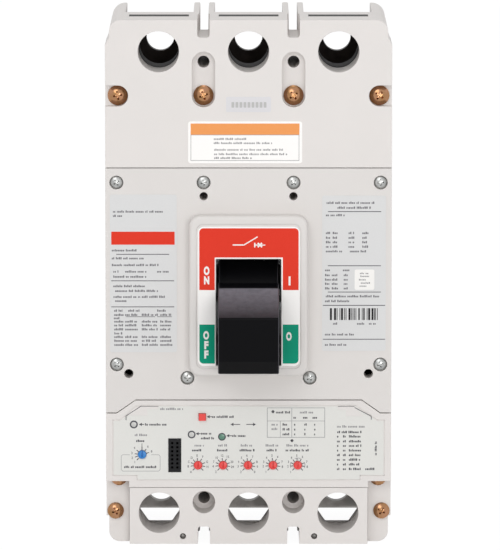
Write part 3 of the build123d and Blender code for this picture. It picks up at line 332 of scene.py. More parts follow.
finishOfSlot = {
    "case_plastic": casePlastic, "cover_plastic": coverPlastic, "handle_plastic": handleBlack,
    "bar_plastic": phenolic, "fibre": fibreBoard, "tinned_copper": tinnedBar, "copper": bareCopper,
    "contact_silver": silverAlloy, "insert_brass": turnedBrass, "steel": rolledSteel,
    "spring_steel": springWire, "gold_zinc": yellowZinc, "silver_zinc": brightZinc,
    "winding": windingVarnish, "board": boardGreen, "face_plate": faceFilm, "connector": socketBlack,
    "button_red": redNylon, "dial_red": redNylon, "dial_blue": blueNylon, "lens": lensPlastic,
    "silver_label": silverFilm, "write_on": whiteFilm, "plate": plateFilm, "switch_label": whiteFilm,
}
slotOfNode = {}
for part in frame["record"]["subparts"]:
    slotOfNode[part["node"]] = part["material_slot"]
finishOfNode = {  # nodes that look unlike the rest of their slot
    # painted shade: the vent screens and the line bars are made near black to stand in for the shade in the
    # slots and bores
    "vent_screens": slotShadeScreen, "line_conductor_left": shadedLineBar, "line_conductor_center": shadedLineBar,
    "line_conductor_right": shadedLineBar,
}
for name, node in frame["nodes"].items():
    material = finishOfNode.get(name, finishOfSlot[slotOfNode[name]])
    if len(node.data.materials) == 0:
        node.data.materials.append(material)
    for index in range(len(node.data.materials)):
        node.data.materials[index] = material
print("materials on", len(slotOfNode), "nodes")


# moulded shells: the CAD faces with the small radius that a mould leaves on every edge
shellWork = {"weld": 0.002, "flatWithin": 0.5, "sharpFrom": 35, "smoothBelow": 30}


def roundedShell(name, node, radius, body="case", steps=2):
    source = frame["nodes"][node]
    shell = source.copy()
    shell.data = source.data.copy()
    shell.name = name
    shell.data.name = name
    shell.parent = None
    shell.matrix_world = Matrix.Identity(4)
    bpy.context.scene.collection.objects.link(shell)
    bpy.ops.object.select_all(action="DESELECT")
    shell.select_set(True)
    bpy.context.view_layer.objects.active = shell
    bpy.ops.object.mode_set(mode="EDIT")
    bpy.ops.mesh.select_all(action="SELECT")
    bpy.ops.mesh.remove_doubles(threshold=shellWork["weld"] * mm)
    bpy.ops.mesh.dissolve_limited(angle_limit=math.radians(shellWork["flatWithin"]))
    bpy.ops.mesh.quads_convert_to_tris(quad_method="BEAUTY", ngon_method="BEAUTY")
    bpy.ops.mesh.customdata_custom_splitnormals_clear()
    bpy.ops.object.mode_set(mode="OBJECT")
    bevel = shell.modifiers.new("edgeRadius", "BEVEL")
    bevel.width = radius * mm
    bevel.segments = steps
    bevel.limit_method = "ANGLE"
    bevel.angle_limit = math.radians(shellWork["sharpFrom"])
    bevel.use_clamp_overlap = False
    bevel.loop_slide = False
    bevel.miter_outer = "MITER_ARC"
    bpy.ops.object.modifier_apply(modifier=bevel.name)
    bpy.ops.object.shade_smooth_by_angle(angle=math.radians(shellWork["smoothBelow"]))
    weights = shell.modifiers.new("faceWeights", "WEIGHTED_NORMAL")
    weights.keep_sharp = True
    bpy.ops.object.modifier_apply(modifier=weights.name)
    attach(shell, body)
    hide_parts(node)
    print("shell", name, len(shell.data.polygons), "faces")


shells = {  # node, edge radius in mm, body and steps of the rounding
    "baseShell": ("base", 0.5, "case", 2), "mainCoverShell": ("main_cover", 0.16, "case", 2),
    "accessoryCoverShell": ("accessory_cover", 0.25, "case", 2),
    "loadEndCoverShell": ("load_end_cover", 0.16, "case", 2),
    "tripHousingShell": ("trip_unit_housing", 0.08, "case", 2), "handleShell": ("handle", 0.7, "handle", 3),
}
for name, look in shells.items():
    roundedShell(name, *look)


# pieces modelled here: primitives are added at their place to a piece that starts empty
def openPiece(name):
    bpy.ops.object.select_all(action="DESELECT")
    bpy.ops.mesh.primitive_plane_add(size=mm)
    piece = bpy.context.object
    piece.name = name
    piece.data.name = name
    bpy.ops.object.mode_set(mode="EDIT")
    bpy.ops.mesh.delete(type="VERT")
    return piece


def closePiece(piece, material, nodes=()):
    bpy.ops.object.mode_set(mode="EDIT")
    bpy.ops.mesh.select_all(action="SELECT")
    bpy.ops.mesh.normals_make_consistent(inside=False)
    bpy.ops.object.mode_set(mode="OBJECT")
    bpy.ops.object.shade_smooth_by_angle(angle=math.radians(shellWork["smoothBelow"]))
    piece.data.materials.clear()
    piece.data.materials.append(material)
    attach(piece, "case")
    if nodes:
        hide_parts(*nodes)


def at(x, depth, z):
    return Vector((x, -depth, z)) * mm


def chooseFaces(piece, test):
    # selects the faces whose middle, in millimetres as (x, depth, z), passes the test
    bpy.ops.mesh.select_all(action="DESELECT")
    bpy.ops.object.mode_set(mode="OBJECT")
    for face in piece.data.polygons:
        place = face.center / mm
        face.select = test(place.x, -place.y, place.z)
    bpy.ops.object.mode_set(mode="EDIT")
    bpy.ops.mesh.select_mode(type="FACE")


def copyTo(piece, name, place, turn):
    # a copy with its own mesh, moved and turned in the mesh, anticlockwise from the front
    twin = piece.copy()
    twin.data = piece.data.copy()
    twin.name = name
    twin.data.name = name
    bpy.context.scene.collection.objects.link(twin)
    twin.data.transform(Matrix.Translation(place) @ Matrix.Rotation(-math.radians(turn), 4, "Y"))
    return twin


def joinAll(pieces, name):
    bpy.ops.object.select_all(action="DESELECT")
    for piece in pieces:
        piece.select_set(True)
    bpy.context.view_layer.objects.active = pieces[0]
    bpy.ops.object.join()
    pieces[0].name = name
    pieces[0].data.name = name
    return pieces[0]


# cross-head screws: a dome with a tapered cross, a rim and a plain shank, modelled once on the middle axis
crossCut = {"proud": 1.0, "taper": 0.45}


def crossScrew(name, look):
    radius, rise = look["radius"], look["dome"]
    ball = (radius ** 2 + rise ** 2) / (2 * rise)
    top = look["seat"] + look["head"]
    piece = openPiece(name)
    bpy.ops.mesh.primitive_uv_sphere_add(segments=48, ring_count=64, radius=ball * mm,
                                         location=at(0, top - ball, 0), rotation=upright)
    bpy.ops.mesh.bisect(plane_co=at(0, top - rise, 0), plane_no=(0, 1, 0), use_fill=True, clear_outer=True)
    bpy.ops.mesh.extrude_region_move(
        TRANSFORM_OT_translate={"value": (0, (look["head"] - rise) * mm, 0)})
    bpy.ops.mesh.inset(thickness=(radius - look["shank"]) * mm)
    bpy.ops.mesh.extrude_region_move(TRANSFORM_OT_translate={"value": (0, look["length"] * mm, 0)})
    bpy.ops.object.mode_set(mode="OBJECT")
    for angle in (0, 90):
        cutter = openPiece(name + "Cutter")
        place = at(0, top + (crossCut["proud"] - look["cut"]) / 2, 0)
        bottom = top - look["cut"]
        bpy.ops.mesh.primitive_cube_add(size=mm, location=place)
        bpy.ops.transform.resize(value=(2 * look["reach"], look["cut"] + crossCut["proud"], look["slit"]),
                                 center_override=place)
        bpy.ops.transform.rotate(value=math.radians(angle), orient_axis="Y", center_override=place)
        chooseFaces(cutter, lambda x, depth, z: depth < bottom + look["cut"] / 2)
        bpy.ops.transform.resize(value=(crossCut["taper"], 1, crossCut["taper"]),
                                 center_override=at(0, bottom, 0))
        bpy.ops.object.mode_set(mode="OBJECT")
        bpy.ops.object.select_all(action="DESELECT")
        piece.select_set(True)
        bpy.context.view_layer.objects.active = piece
        cut = piece.modifiers.new("cross", "BOOLEAN")
        cut.object = cutter
        cut.solver = "EXACT"
        bpy.ops.object.modifier_apply(modifier=cut.name)
        bpy.data.objects.remove(cutter)
    return piece


screwKinds = {  # places are x, z and the turn of the cross
    "lineCoverScrews": {
        "radius": 4.9, "dome": 1.9, "head": 2.8, "seat": 90.5, "shank": 2.0, "length": 43.5, "reach": 2.9,
        "slit": 1.2, "cut": 2.1,
        "places": [(-21.85, 91.7, 20), (21.85, 91.7, 35), (-63.5, 91.7, 10), (63.5, 91.7, 55)]},
    "loadCoverScrews": {
        "radius": 4.05, "dome": 1.6, "head": 2.6, "seat": 87.5, "shank": 2.0, "length": 40.5, "reach": 2.5,
        "slit": 1.1, "cut": 1.9, "places": [(-65.1, -113.2, 25), (65.1, -113.2, 60)]},
    "ledgeScrews": {
        "radius": 4.05, "dome": 1.6, "head": 2.6, "seat": 87.5, "shank": 2.0, "length": 40.5, "reach": 1.6,
        "slit": 0.8, "cut": 1.3, "places": [(-63.4, -96.65, 15), (63.4, -96.65, 40)]},
    "accessoryCoverScrews": {
        "radius": 3.2, "dome": 1.0, "head": 1.9, "seat": 93.0, "shank": 1.75, "length": 16.0, "reach": 2.1,
        "slit": 0.9, "cut": 1.45,
        "places": [(-21.85, 49.4, 15), (21.85, 49.4, 50), (-64.2, 49.4, 30), (64.2, 49.4, 5),
                   (-64.2, -39.9, 40), (64.2, -39.9, 20), (-29.8, -46.5, 0), (29.8, -46.5, 35)]},
    "endCoverScrews": {
        "radius": 1.35, "dome": 0.5, "head": 1.3, "seat": 92.8, "shank": 0.9, "length": 30.0, "reach": 0.8,
        "slit": 0.4, "cut": 0.6, "places": [(-32.1, -124.9, 20), (32.1, -124.9, 45)]},
}
screws = {}
for kind, look in screwKinds.items():
    original = crossScrew(kind + "Original", look)
    made = []
    for number, (x, z, turn) in enumerate(look["places"]):
        made.append(copyTo(original, kind + str(number), at(x, 0, z), turn))
    bpy.data.objects.remove(original)
    screws[kind] = joinAll(made, kind)
goldScrews = joinAll([screws["lineCoverScrews"], screws["loadCoverScrews"], screws["ledgeScrews"]],
                     "goldCoverScrews")
closePiece(goldScrews, yellowZinc, nodes=["cover_screws"])
closePiece(screws["accessoryCoverScrews"], brightZinc, nodes=["accessory_screws"])
# the end cover screws carry painted shade in their darkened zinc
closePiece(screws["endCoverScrews"], recessShadeZinc, nodes=["load_cover_screws"])
print("screws made")


# painted shade: dark tubes lining the bores at the line end, standing in for the shade deep in the bores
polePitch = 43.7
shadeLiner = {"outer": 9.95, "wall": 0.25, "back": 54.0, "front": 72.0, "z": 113.2}
piece = openPiece("boreShadeLiners")
for index in (-1, 0, 1):
    bpy.ops.mesh.primitive_circle_add(vertices=64, radius=shadeLiner["outer"] * mm, fill_type="NGON",
                                      location=at(index * polePitch, shadeLiner["back"], shadeLiner["z"]),
                                      rotation=upright)
    bpy.ops.mesh.inset(thickness=shadeLiner["wall"] * mm)
    bpy.ops.mesh.delete(type="FACE")
bpy.ops.mesh.select_all(action="SELECT")
bpy.ops.mesh.extrude_region_move(
    TRANSFORM_OT_translate={"value": (0, (shadeLiner["back"] - shadeLiner["front"]) * mm, 0)})
closePiece(piece, paintedShadeLiner)


# painted shade: a dark sheet close under the top of each arc gas slot, standing in for the shade inside the
# slot
screen = {"wide": 29.0, "middle": 70.5, "deep": 10.0, "top": 128.6, "thick": 0.6}
piece = openPiece("ventShadeSheet")
for index in (-1, 0, 1):
    place = at(index * polePitch, screen["middle"], screen["top"] - screen["thick"] / 2)
    bpy.ops.mesh.primitive_cube_add(size=mm, location=place)
    bpy.ops.transform.resize(value=(screen["wide"], screen["deep"], screen["thick"]), center_override=place)
closePiece(piece, slotShadeScreen)


# printed marks: flat faces pulled forward into a thin closed film of ink
film = {"sink": 0.02, "thick": 0.03, "weld": 0.0005}


def addMark(depth, x, z, wide, high, turn=0.0, corner=0.0):
    place = at(x, depth - film["sink"], z)
    bpy.ops.mesh.primitive_plane_add(size=mm, location=place, rotation=upright)
    bpy.ops.transform.resize(value=(wide, 1, high), center_override=place)
    if corner:
        bpy.ops.mesh.bevel(offset=corner * mm, segments=5, affect="VERTICES")
    if turn:
        bpy.ops.transform.rotate(value=math.radians(turn), orient_axis="Y", center_override=place)


def pullFilm(thick=film["thick"]):
    bpy.ops.mesh.select_all(action="SELECT")
    bpy.ops.mesh.extrude_region_move(
        TRANSFORM_OT_translate={"value": (0, -(thick + film["sink"]) * mm, 0)})


def inkMarks(name, depth, marks, ink):
    piece = openPiece(name)
    for mark in marks:
        addMark(depth, *mark)
    pullFilm()
    closePiece(piece, ink)


def bar(x0, x1, z0, z1):
    # a mark given by its two limits each way
    return ((x0 + x1) / 2, (z0 + z1) / 2, abs(x1 - x0), abs(z1 - z0))


def frameBars(x0, x1, z0, z1, line):
    return [bar(x0, x1, z1 - line, z1), bar(x0, x1, z0, z0 + line),
            bar(x0, x0 + line, z0 + line, z1 - line), bar(x1 - line, x1, z0 + line, z1 - line)]


smallType = {
    "dash": (0.4, 0.7), "gap": 0.2, "space": 0.6, "letters": (2, 8), "heights": (0.72, 0.72, 1.0),
    "spare": 0.3}


def smallPrint(rows, high):
    # rows of letter-sized dashes in random words, too small to read: (z, x from, x to)
    marks = []
    for z, start, end in rows:
        x = start
        left = draws.randint(*smallType["letters"])
        while x < end - smallType["spare"]:
            wide = draws.uniform(*smallType["dash"])
            tall = high * draws.choice(smallType["heights"])
            marks.append((x + wide / 2, z + (tall - high) / 2, wide, tall))
            x += wide + smallType["gap"]
            left -= 1
            if left == 0:
                x += smallType["space"]
                left = draws.randint(*smallType["letters"])
    return marks


def printedText(name, depth, words, ink, bold):
    # words are (text, x, z, letter height, width share)
    made = []
    for text, x, z, high, share in words:
        bpy.ops.object.select_all(action="DESELECT")
        bpy.ops.object.text_add(rotation=upright)
        letter = bpy.context.object
        letter.data.body = text
        letter.data.align_x = "CENTER"
        letter.data.align_y = "CENTER"
        letter.data.size = high / 0.7 * mm  # capitals stand 0.7 of the type size
        letter.data.extrude = (film["thick"] + film["sink"]) / 2 * mm
        letter.data.offset = bold * mm
        letter.data.resolution_u = 3
        bpy.ops.object.convert(target="MESH")
        letter.scale = (share, 1, 1)
        bpy.ops.object.transform_apply(location=True, rotation=True, scale=True)
        letter.data.transform(Matrix.Translation(at(x, depth + (film["thick"] - film["sink"]) / 2, z)))
        made.append(letter)
    piece = joinAll(made, name)
    bpy.ops.object.mode_set(mode="EDIT")
    bpy.ops.mesh.select_all(action="SELECT")
    bpy.ops.mesh.remove_doubles(threshold=film["weld"] * mm)
    closePiece(piece, ink)


def roundCorners(piece, test, radius):
    # rounds the flat outline's corners whose place, in millimetres as (x, z), passes the test
    bpy.ops.mesh.select_mode(type="VERT")
    bpy.ops.mesh.select_all(action="DESELECT")
    bpy.ops.object.mode_set(mode="OBJECT")
    for corner in piece.data.vertices:
        place = corner.co / mm
        corner.select = test(place.x, place.z)
    bpy.ops.object.mode_set(mode="EDIT")
    bpy.ops.mesh.bevel(offset=radius * mm, segments=6, affect="VERTICES")


# handle label: red, white and green fields, ON and OFF, and the switch symbol
switch = {
    "depth": 103.5, "left": -23.9, "right": 24.3, "top": 28.15, "redEnd": -2.1, "whiteEnd": -19.0,
    "bottom": -38.15, "windowLeft": -16.4, "windowRight": 16.6, "windowTop": 13.85, "corner": 2.0,
    "cornersFrom": 20.0, "near": 0.1, "bold": 0.3,
    "letters": [("O", -20.35, 7.15, 3.7, 0.62), ("N", -20.35, 2.5, 3.5, 0.68), ("I", 19.9, 2.2, 3.9, 0.8),
                ("O", -20.6, -24.5, 3.7, 0.62), ("F", -20.6, -29.3, 3.5, 0.85),
                ("F", -20.6, -33.9, 3.5, 0.85), ("O", 19.6, -25.0, 3.7, 0.6)],
    "symbol": [(-5.0, 20.0, 5.4, 0.6), (1.0, 21.95, 7.9, 0.55, 31), (3.0, 19.95, 0.6, 2.3),
               (4.1, 19.95, 1.6, 0.6), (5.5, 19.95, 2.9, 0.75, 45), (4.85, 20.6, 1.08, 0.75, -45),
               (6.15, 19.3, 1.08, 0.75, -45), (7.1, 19.95, 2.0, 0.5)],
}
piece = openPiece("redField")
addMark(switch["depth"], *bar(switch["left"], switch["right"], switch["redEnd"], switch["top"]))
for place, normal in (((switch["windowLeft"], 0, 0), (1, 0, 0)), ((switch["windowRight"], 0, 0), (1, 0, 0)),
                      ((0, 0, switch["windowTop"]), (0, 0, 1))):
    bpy.ops.mesh.select_all(action="SELECT")
    bpy.ops.mesh.bisect(plane_co=Vector(place) * mm, plane_no=normal)
chooseFaces(piece, lambda x, depth, z: switch["windowLeft"] < x < switch["windowRight"]
            and z < switch["windowTop"])
bpy.ops.mesh.delete(type="FACE")
roundCorners(piece, lambda x, z: z > switch["top"] - switch["near"] and abs(x) > switch["cornersFrom"],
             switch["corner"])
pullFilm()
closePiece(piece, redInk)
piece = openPiece("greenFields")
for x0, x1 in ((switch["left"], switch["windowLeft"]), (switch["windowRight"], switch["right"])):
    addMark(switch["depth"], *bar(x0, x1, switch["bottom"], switch["whiteEnd"]))
roundCorners(piece, lambda x, z: z < switch["bottom"] + switch["near"] and abs(x) > switch["cornersFrom"],
             switch["corner"])
pullFilm()
closePiece(piece, greenInk)
printedText("switchLettering", switch["depth"] + film["thick"], switch["letters"], whiteInk,
            switch["bold"])
inkMarks("switchSymbol", switch["depth"] + film["thick"], switch["symbol"], whiteInk)
print("handle label made")


# rating labels: rules and rows of small print, a red band, a white sticker and bar code
draws = random.Random(11)
ratings = {  # rows are (z, x from, x to), bars (x from, x to, z from, z to), tables heights by columns
    "depth": 95.2, "high": 1.1, "stickerHigh": 0.8, "ruleHigh": 0.36,
    "leftRows": [
        (35.3, -65.9, -49), (33.2, -65.9, -61.7), (16.3, -66.5, -54.4), (12.4, -66.5, -51.2),
        (9.1, -66.5, -44), (5.9, -65.8, -63), (5.9, -60, -49.8), (5.9, -44.5, -39.1), (3.4, -65.8, -49.3),
        (-1.25, -65.8, -49.6), (-3.6, -64.9, -44), (-6.5, -65.8, -40.6), (-8.5, -64.9, -59.1),
        (-13.3, -65.4, -60.5), (-13.3, -58.6, -52.8), (-13.3, -44.5, -40.1), (-17.0, -65.6, -62.5),
        (-24.5, -65.4, -61.5), (35.3, -48.2, -41.6)],
    "leftTables": [((-15.35, -18.65, -20.5, -22.5, -26.2, -28.1, -30.1),
                    ((-65.4, -60.8), (-60.1, -54.2), (-52, -44.5), (-43, -37.4)))],
    "leftRules": [(-64.35, -38.61, 14.15, 14.5), (-66.85, -36.2, 1.15, 1.5), (-66.85, -36.2, -11.65, -11.3),
                  (-59.8, -45.5, -16.45, -16.2), (-44.5, -37.4, -16.45, -16.2)],
    "rightRows": [
        (39.6, 37.9, 60.9), (37.2, 43.2, 59.4), (33.55, 37.6, 46.8), (6.6, 37.2, 40.5), (6.6, 45.9, 48.8),
        (-6.25, 37.6, 63.4), (-8.6, 37.2, 49.3), (-25.0, 37.2, 51.1), (-30.05, 37.2, 47.9),
        (15.85, 37.6, 45.2), (15.85, 49.3, 57.5)],
    "rightTables": [((24.8, 22.5, 20.3, 18.1), ((37.6, 40.1), (40.9, 43.2), (48.6, 51.2), (55.3, 58.2))),
                    ((4.15, 1.95, -0.1, -2.35), ((37.2, 39.7), (40.5, 43.4), (46.3, 48.5))),
                    ((-19.7,), ((41.1, 43.5), (52.8, 56.2), (58.6, 61.8)))],
    "rightRules": [(38.6, 64.4, 35.26), (38.6, 64.4, 8.72), (38.6, 64.4, -4.2), (36.2, 66.5, -10.74),
                   (36.2, 66.5, -27.4)],  # x from, x to and the middle
    "codeFrom": 39.6, "codeTo": 64.0, "codeLow": -17.96, "codeHigh": -12.12,
    "codeStripes": (0.35, 0.35, 0.7, 1.0), "codeGaps": (0.35, 0.35, 0.6, 1.0),
    "redBand": (-66.75, -35.93, 19.04, 25.43), "sticker": (51.6, 61.2, -3.07, 6.86), "stickerCorner": 0.8,
    "stickerRows": [(5.0, 54.2, 58.3), (3.6, 54.4, 59.6), (1.9, 53.7, 57.4), (0.3, 54.6, 59.2),
                    (-1.2, 54.0, 57.8)],
}


def tableRows(tables):
    rows = []
    for heights, columns in tables:
        rows += [(z, start, end) for z in heights for start, end in columns]
    return rows


stripes = []
x = ratings["codeFrom"]
while x < ratings["codeTo"] - 0.6:
    wide = draws.choice(ratings["codeStripes"])
    stripes.append(bar(x, min(x + wide, ratings["codeTo"]), ratings["codeLow"], ratings["codeHigh"]))
    x += wide + draws.choice(ratings["codeGaps"])
rows = ratings["leftRows"] + tableRows(ratings["leftTables"])
rows += ratings["rightRows"] + tableRows(ratings["rightTables"])
inkMarks("ratingPrint", ratings["depth"], smallPrint(rows, ratings["high"]), middleInk)
rules = [bar(*limits) for limits in ratings["leftRules"]]
for start, end, z in ratings["rightRules"]:
    rules.append(bar(start, end, z - ratings["ruleHigh"] / 2, z + ratings["ruleHigh"] / 2))
inkMarks("ratingRules", ratings["depth"], rules, darkInk)
inkMarks("barCode", ratings["depth"], stripes, blackInk)
inkMarks("redBand", ratings["depth"], [bar(*ratings["redBand"])], redInk)
inkMarks("whiteSticker", ratings["depth"], [bar(*ratings["sticker"]) + (0.0, ratings["stickerCorner"])],
         whiteInk)
inkMarks("stickerPrint", ratings["depth"] + film["thick"],
         smallPrint(ratings["stickerRows"], ratings["stickerHigh"]), softInk)


# number plate: plain pale blocks in place of figures
plate = {"blocks": 9, "from": -7.6, "pitch": 1.95, "z": 87.4, "wide": 1.35, "high": 2.7, "corner": 0.3}
blocks = []
for number in range(plate["blocks"]):
    blocks.append((plate["from"] + plate["pitch"] * number, plate["z"], plate["wide"], plate["high"], 0.0,
                   plate["corner"]))
inkMarks("plateMarks", ratings["depth"], blocks, paleInk)
print("rating labels printed")


# write-on label: an orange band over a framed field with faint rows
writeOn = {
    "band": (-28.1, 24.7, 72.86, 78.3), "frame": (-28.1, 24.6, 60.1, 72.86), "line": 0.25, "high": 1.0,
    "rows": [(70.8, -16.9, -1.2), (68.8, -16.9, 11.4), (65.55, -16.7, 16.7), (63.4, -16.7, 18.9),
             (61.5, -16.7, 1.45)],
}
inkMarks("orangeBand", ratings["depth"], [bar(*writeOn["band"])], orangeInk)
inkMarks("writeOnFrame", ratings["depth"], frameBars(*writeOn["frame"], writeOn["line"]), softInk)
inkMarks("writeOnPrint", ratings["depth"], smallPrint(writeOn["rows"], writeOn["high"]), softInk)


# trip unit face: dial scales and arrows
tripFace = {
    "depth": 95.3, "high": 1.15, "numeral": (1.15, 0.85), "bold": 0.02, "tick": 1.3, "topTick": 2.0,
    "tickWide": 0.4, "arrowHead": 0.95, "arrowTip": 0.55, "arrowShort": 1.0, "arrowLine": 0.35,
    "redDials": [(-24.74, -89.58), (-12.59, -89.58), (-0.39, -89.58), (11.86, -89.58), (23.96, -89.58)],
    "redAngles": [225, 187, 160, 130, 95, 60, 20, -10, -45], "redTicksAt": 2.95, "redNumeralsAt": 4.75,
    "redWords": ["ABCDEFGH", ("2", "4", "7", "10", "12", "15", "20", "24"), "234567890",
                 ("1", "2", "3", "4", "5", "6", "7", "8"), "12345678"],
    "blueDial": (-52.05, -84.5), "blueAngles": [225, 197, 170, 137, 90, 55, 20], "blueTicksFrom": 2.3,
    "blueNumeralsAt": 5.0, "blueWords": ("1", "2", "3", "4", "5", "6", "8"),
    "arrows": [(-52.0, -69.4, 2.2, False), (-18.9, -65.6, 2.2, False), (-24.4, -74.0, 2.0, False),
               (-9.25, -75.0, 2.4, False), (-6.25, -69.4, 4.3, False), (1.05, -69.4, 4.3, True)],
}


def addArrow(depth, x, z, length, toRight):
    side = 1 if toRight else -1
    tip = at(x + side * (length / 2 - tripFace["arrowTip"]), depth - film["sink"], z)
    bpy.ops.mesh.primitive_circle_add(vertices=3, radius=tripFace["arrowHead"] * mm, fill_type="NGON",
                                      location=tip, rotation=upright)
    bpy.ops.transform.rotate(value=math.radians(-90 * side), orient_axis="Y", center_override=tip)
    short = tripFace["arrowShort"]
    addMark(depth, x - side * short / 2, z, length - short, tripFace["arrowLine"])


def polar(center, radius, angle):
    turn = math.radians(angle)
    return center[0] + radius * math.cos(turn), center[1] + radius * math.sin(turn)


ticks = []
numerals = []
for center, words in zip(tripFace["redDials"], tripFace["redWords"]):
    for angle in tripFace["redAngles"]:
        middle = polar(center, tripFace["redTicksAt"], angle)
        ticks.append(middle + (tripFace["tick"], tripFace["tickWide"], angle))
    for angle, word in zip(tripFace["redAngles"], words):
        numerals.append((word,) + polar(center, tripFace["redNumeralsAt"], angle) + tripFace["numeral"])
for angle, word in zip(tripFace["blueAngles"], tripFace["blueWords"]):
    length = tripFace["topTick"] if angle == 90 else tripFace["tick"]
    middle = polar(tripFace["blueDial"], tripFace["blueTicksFrom"] + length / 2, angle)
    ticks.append(middle + (length, tripFace["tickWide"], angle))
    middle = polar(tripFace["blueDial"], tripFace["blueNumeralsAt"], angle)
    numerals.append((word,) + middle + tripFace["numeral"])
piece = openPiece("scaleTicks")
for mark in ticks:
    addMark(tripFace["depth"], *mark)
for arrow in tripFace["arrows"]:
    addArrow(tripFace["depth"], *arrow)
pullFilm()
closePiece(piece, darkInk)
printedText("scaleNumerals", tripFace["depth"], numerals, darkInk, tripFace["bold"])


# trip unit face: titles, notes and lists in small print
faceText = {
    "titles": [(-69.4, -50.5, -40.2), (-77.5, -54.9, -50.7), (-65.6, -17.8, -7.3), (-73.85, -23.2, -17.6),
               (-76.2, -23.2, -16.8), (-75.0, -8.0, -1.2), (-63.4, 13.4, 20.2), (-90.4, -60.8, -44.7)],
    "titleTables": [
        ((-82.15,), ((-27.6, -23.0), (-15.4, -10.6), (-4.4, 2.7), (8.8, 13.9), (18.1, 29.3))),
        ((-69.4, -71.8, -74.2), ((16.6, 19.8), (22.2, 23.2), (27.2, 28.2), (32.0, 32.9))),
        ((-66.0,), ((21.9, 24.0), (26.6, 29.0), (31.2, 33.8))), ((-73.15,), ((43.3, 55.1),)),
        ((-75.3, -77.7, -79.9, -82.2, -84.5, -86.8, -89.1, -91.4),
         ((43.2, 44.2), (46.1, 47.6), (49.0, 54.9))),
        ((-91.4,), ((57.0, 61.9),))],
    "notes": [(-61.7, -43.1, -31.9), (-74.6, -55.6, -49.7), (-63.4, 25.0, 31.7), (-70.4, 43.15, 56.8),
              (-69.4, 11.2, 13.9), (-71.6, 11.2, 14.2)],
    "noteTables": [((-79.75,), ((-26.4, -21.4), (-14.9, -10.3), (-3.8, 2.2), (8.3, 14.4), (18.5, 28.9)))],
    "uprightRow": (0.0, -3.4, 3.4), "uprightHigh": 1.0, "uprightAt": (62.1, -81.2),
}
rows = faceText["titles"] + tableRows(faceText["titleTables"])
inkMarks("faceTitles", tripFace["depth"], smallPrint(rows, tripFace["high"]), darkInk)
rows = faceText["notes"] + tableRows(faceText["noteTables"])
inkMarks("faceNotes", tripFace["depth"], smallPrint(rows, tripFace["high"]), softInk)


# trip unit face: the table's lines, the box round the blue dial and the arcs of the last dial
faceRules = {
    "table": (9.0, 37.3, -75.9, -61.1), "tableLine": 0.25,
    "tableBars": [(20.98, 21.22, -75.65, -61.35), (9.25, 37.05, -67.8, -67.6), (15.4, 15.6, -75.65, -67.8)],
    "boxBars": [(-62.3, -62.1, -91.7, -85.2), (-43.3, -43.1, -91.7, -85.2), (-61.5, -44.0, -92.6, -92.4),
                (-61.5, -58.0, -84.5, -84.3), (-47.5, -44.0, -84.5, -84.3)],
    "boxCorners": [(-61.85, -92.1, -45), (-43.55, -92.1, 45), (-61.85, -84.75, 45), (-43.55, -84.75, -45)],
    "boxCorner": (1.1, 0.2), "arcRadius": 3.55, "arcDash": (0.3, 0.95), "arcs": (180, 90, 0),
    "arcSteps": (-15, 0, 15),
    "stars": [(21.2, -77.4), (11.9, -63.1)], "star": (1.6, 0.4), "catchMark": (48.6, -63.2, 0.7, 1.4),
}
lines = frameBars(*faceRules["table"], faceRules["tableLine"])
lines += [bar(*limits) for limits in faceRules["tableBars"] + faceRules["boxBars"]]
for x, z, angle in faceRules["boxCorners"]:
    lines.append((x, z) + faceRules["boxCorner"] + (angle,))
for step in faceRules["arcSteps"]:
    for middle in faceRules["arcs"]:
        angle = middle + step
        place = polar(tripFace["redDials"][4], faceRules["arcRadius"], angle)
        lines.append(place + faceRules["arcDash"] + (angle,))
inkMarks("faceLines", tripFace["depth"], lines, softInk)
marks = []
for x, z, wide, high in smallPrint([faceText["uprightRow"]], faceText["uprightHigh"]):
    marks.append((faceText["uprightAt"][0] - z, faceText["uprightAt"][1] + x, high, wide))
for place in faceRules["stars"]:
    marks += [place + faceRules["star"] + (angle,) for angle in (0, 60, 120)]
marks.append(faceRules["catchMark"])
inkMarks("faceMarks", tripFace["depth"], marks, darkInk)
print("trip unit face printed")


# catches moulded at the top corners of the trip unit, with the lines of their joints
tabs = {  # a corner piece is its limits, a point on its slanting side and that side's direction
    "corners": [((-59.2, -49.4, -64.95, -60.6), (-59.85, -65.25), (7.45, 4.85)),
                ((47.5, 59.2, -65.3, -60.6), (51.7, -61.0), (8.2, -4.4))],
    "ends": [(-49.4, -44.05, -61.75, -60.6), (43.6, 47.5, -62.25, -60.6)], "thick": 0.14,
    "seamsAbove": 0.12,
    "slants": [(-56.1, -62.75, 8.7, 0.3, 33.1), (55.8, -63.2, 9.2, 0.3, -28.2)],
    "seams": [(-59.95, -59.65, -67.25, -65.2), (59.75, 60.05, -66.95, -65.4), (-52.4, -44.0, -60.6, -60.4),
              (43.6, 51.7, -60.6, -60.4)],
}
piece = openPiece("faceTabs")
for limits, corner, along in tabs["corners"]:
    addMark(tripFace["depth"], *bar(*limits))
    bpy.ops.mesh.select_linked()
    bpy.ops.mesh.bisect(plane_co=at(corner[0], tripFace["depth"], corner[1]),
                        plane_no=(-along[1], 0, along[0]), clear_outer=True)
for limits in tabs["ends"]:
    addMark(tripFace["depth"], *bar(*limits))
pullFilm(tabs["thick"])
closePiece(piece, casePlastic)
seams = tabs["slants"] + [bar(*limits) for limits in tabs["seams"]]
inkMarks("tabSeams", tripFace["depth"] + tabs["seamsAbove"], seams, darkInk)


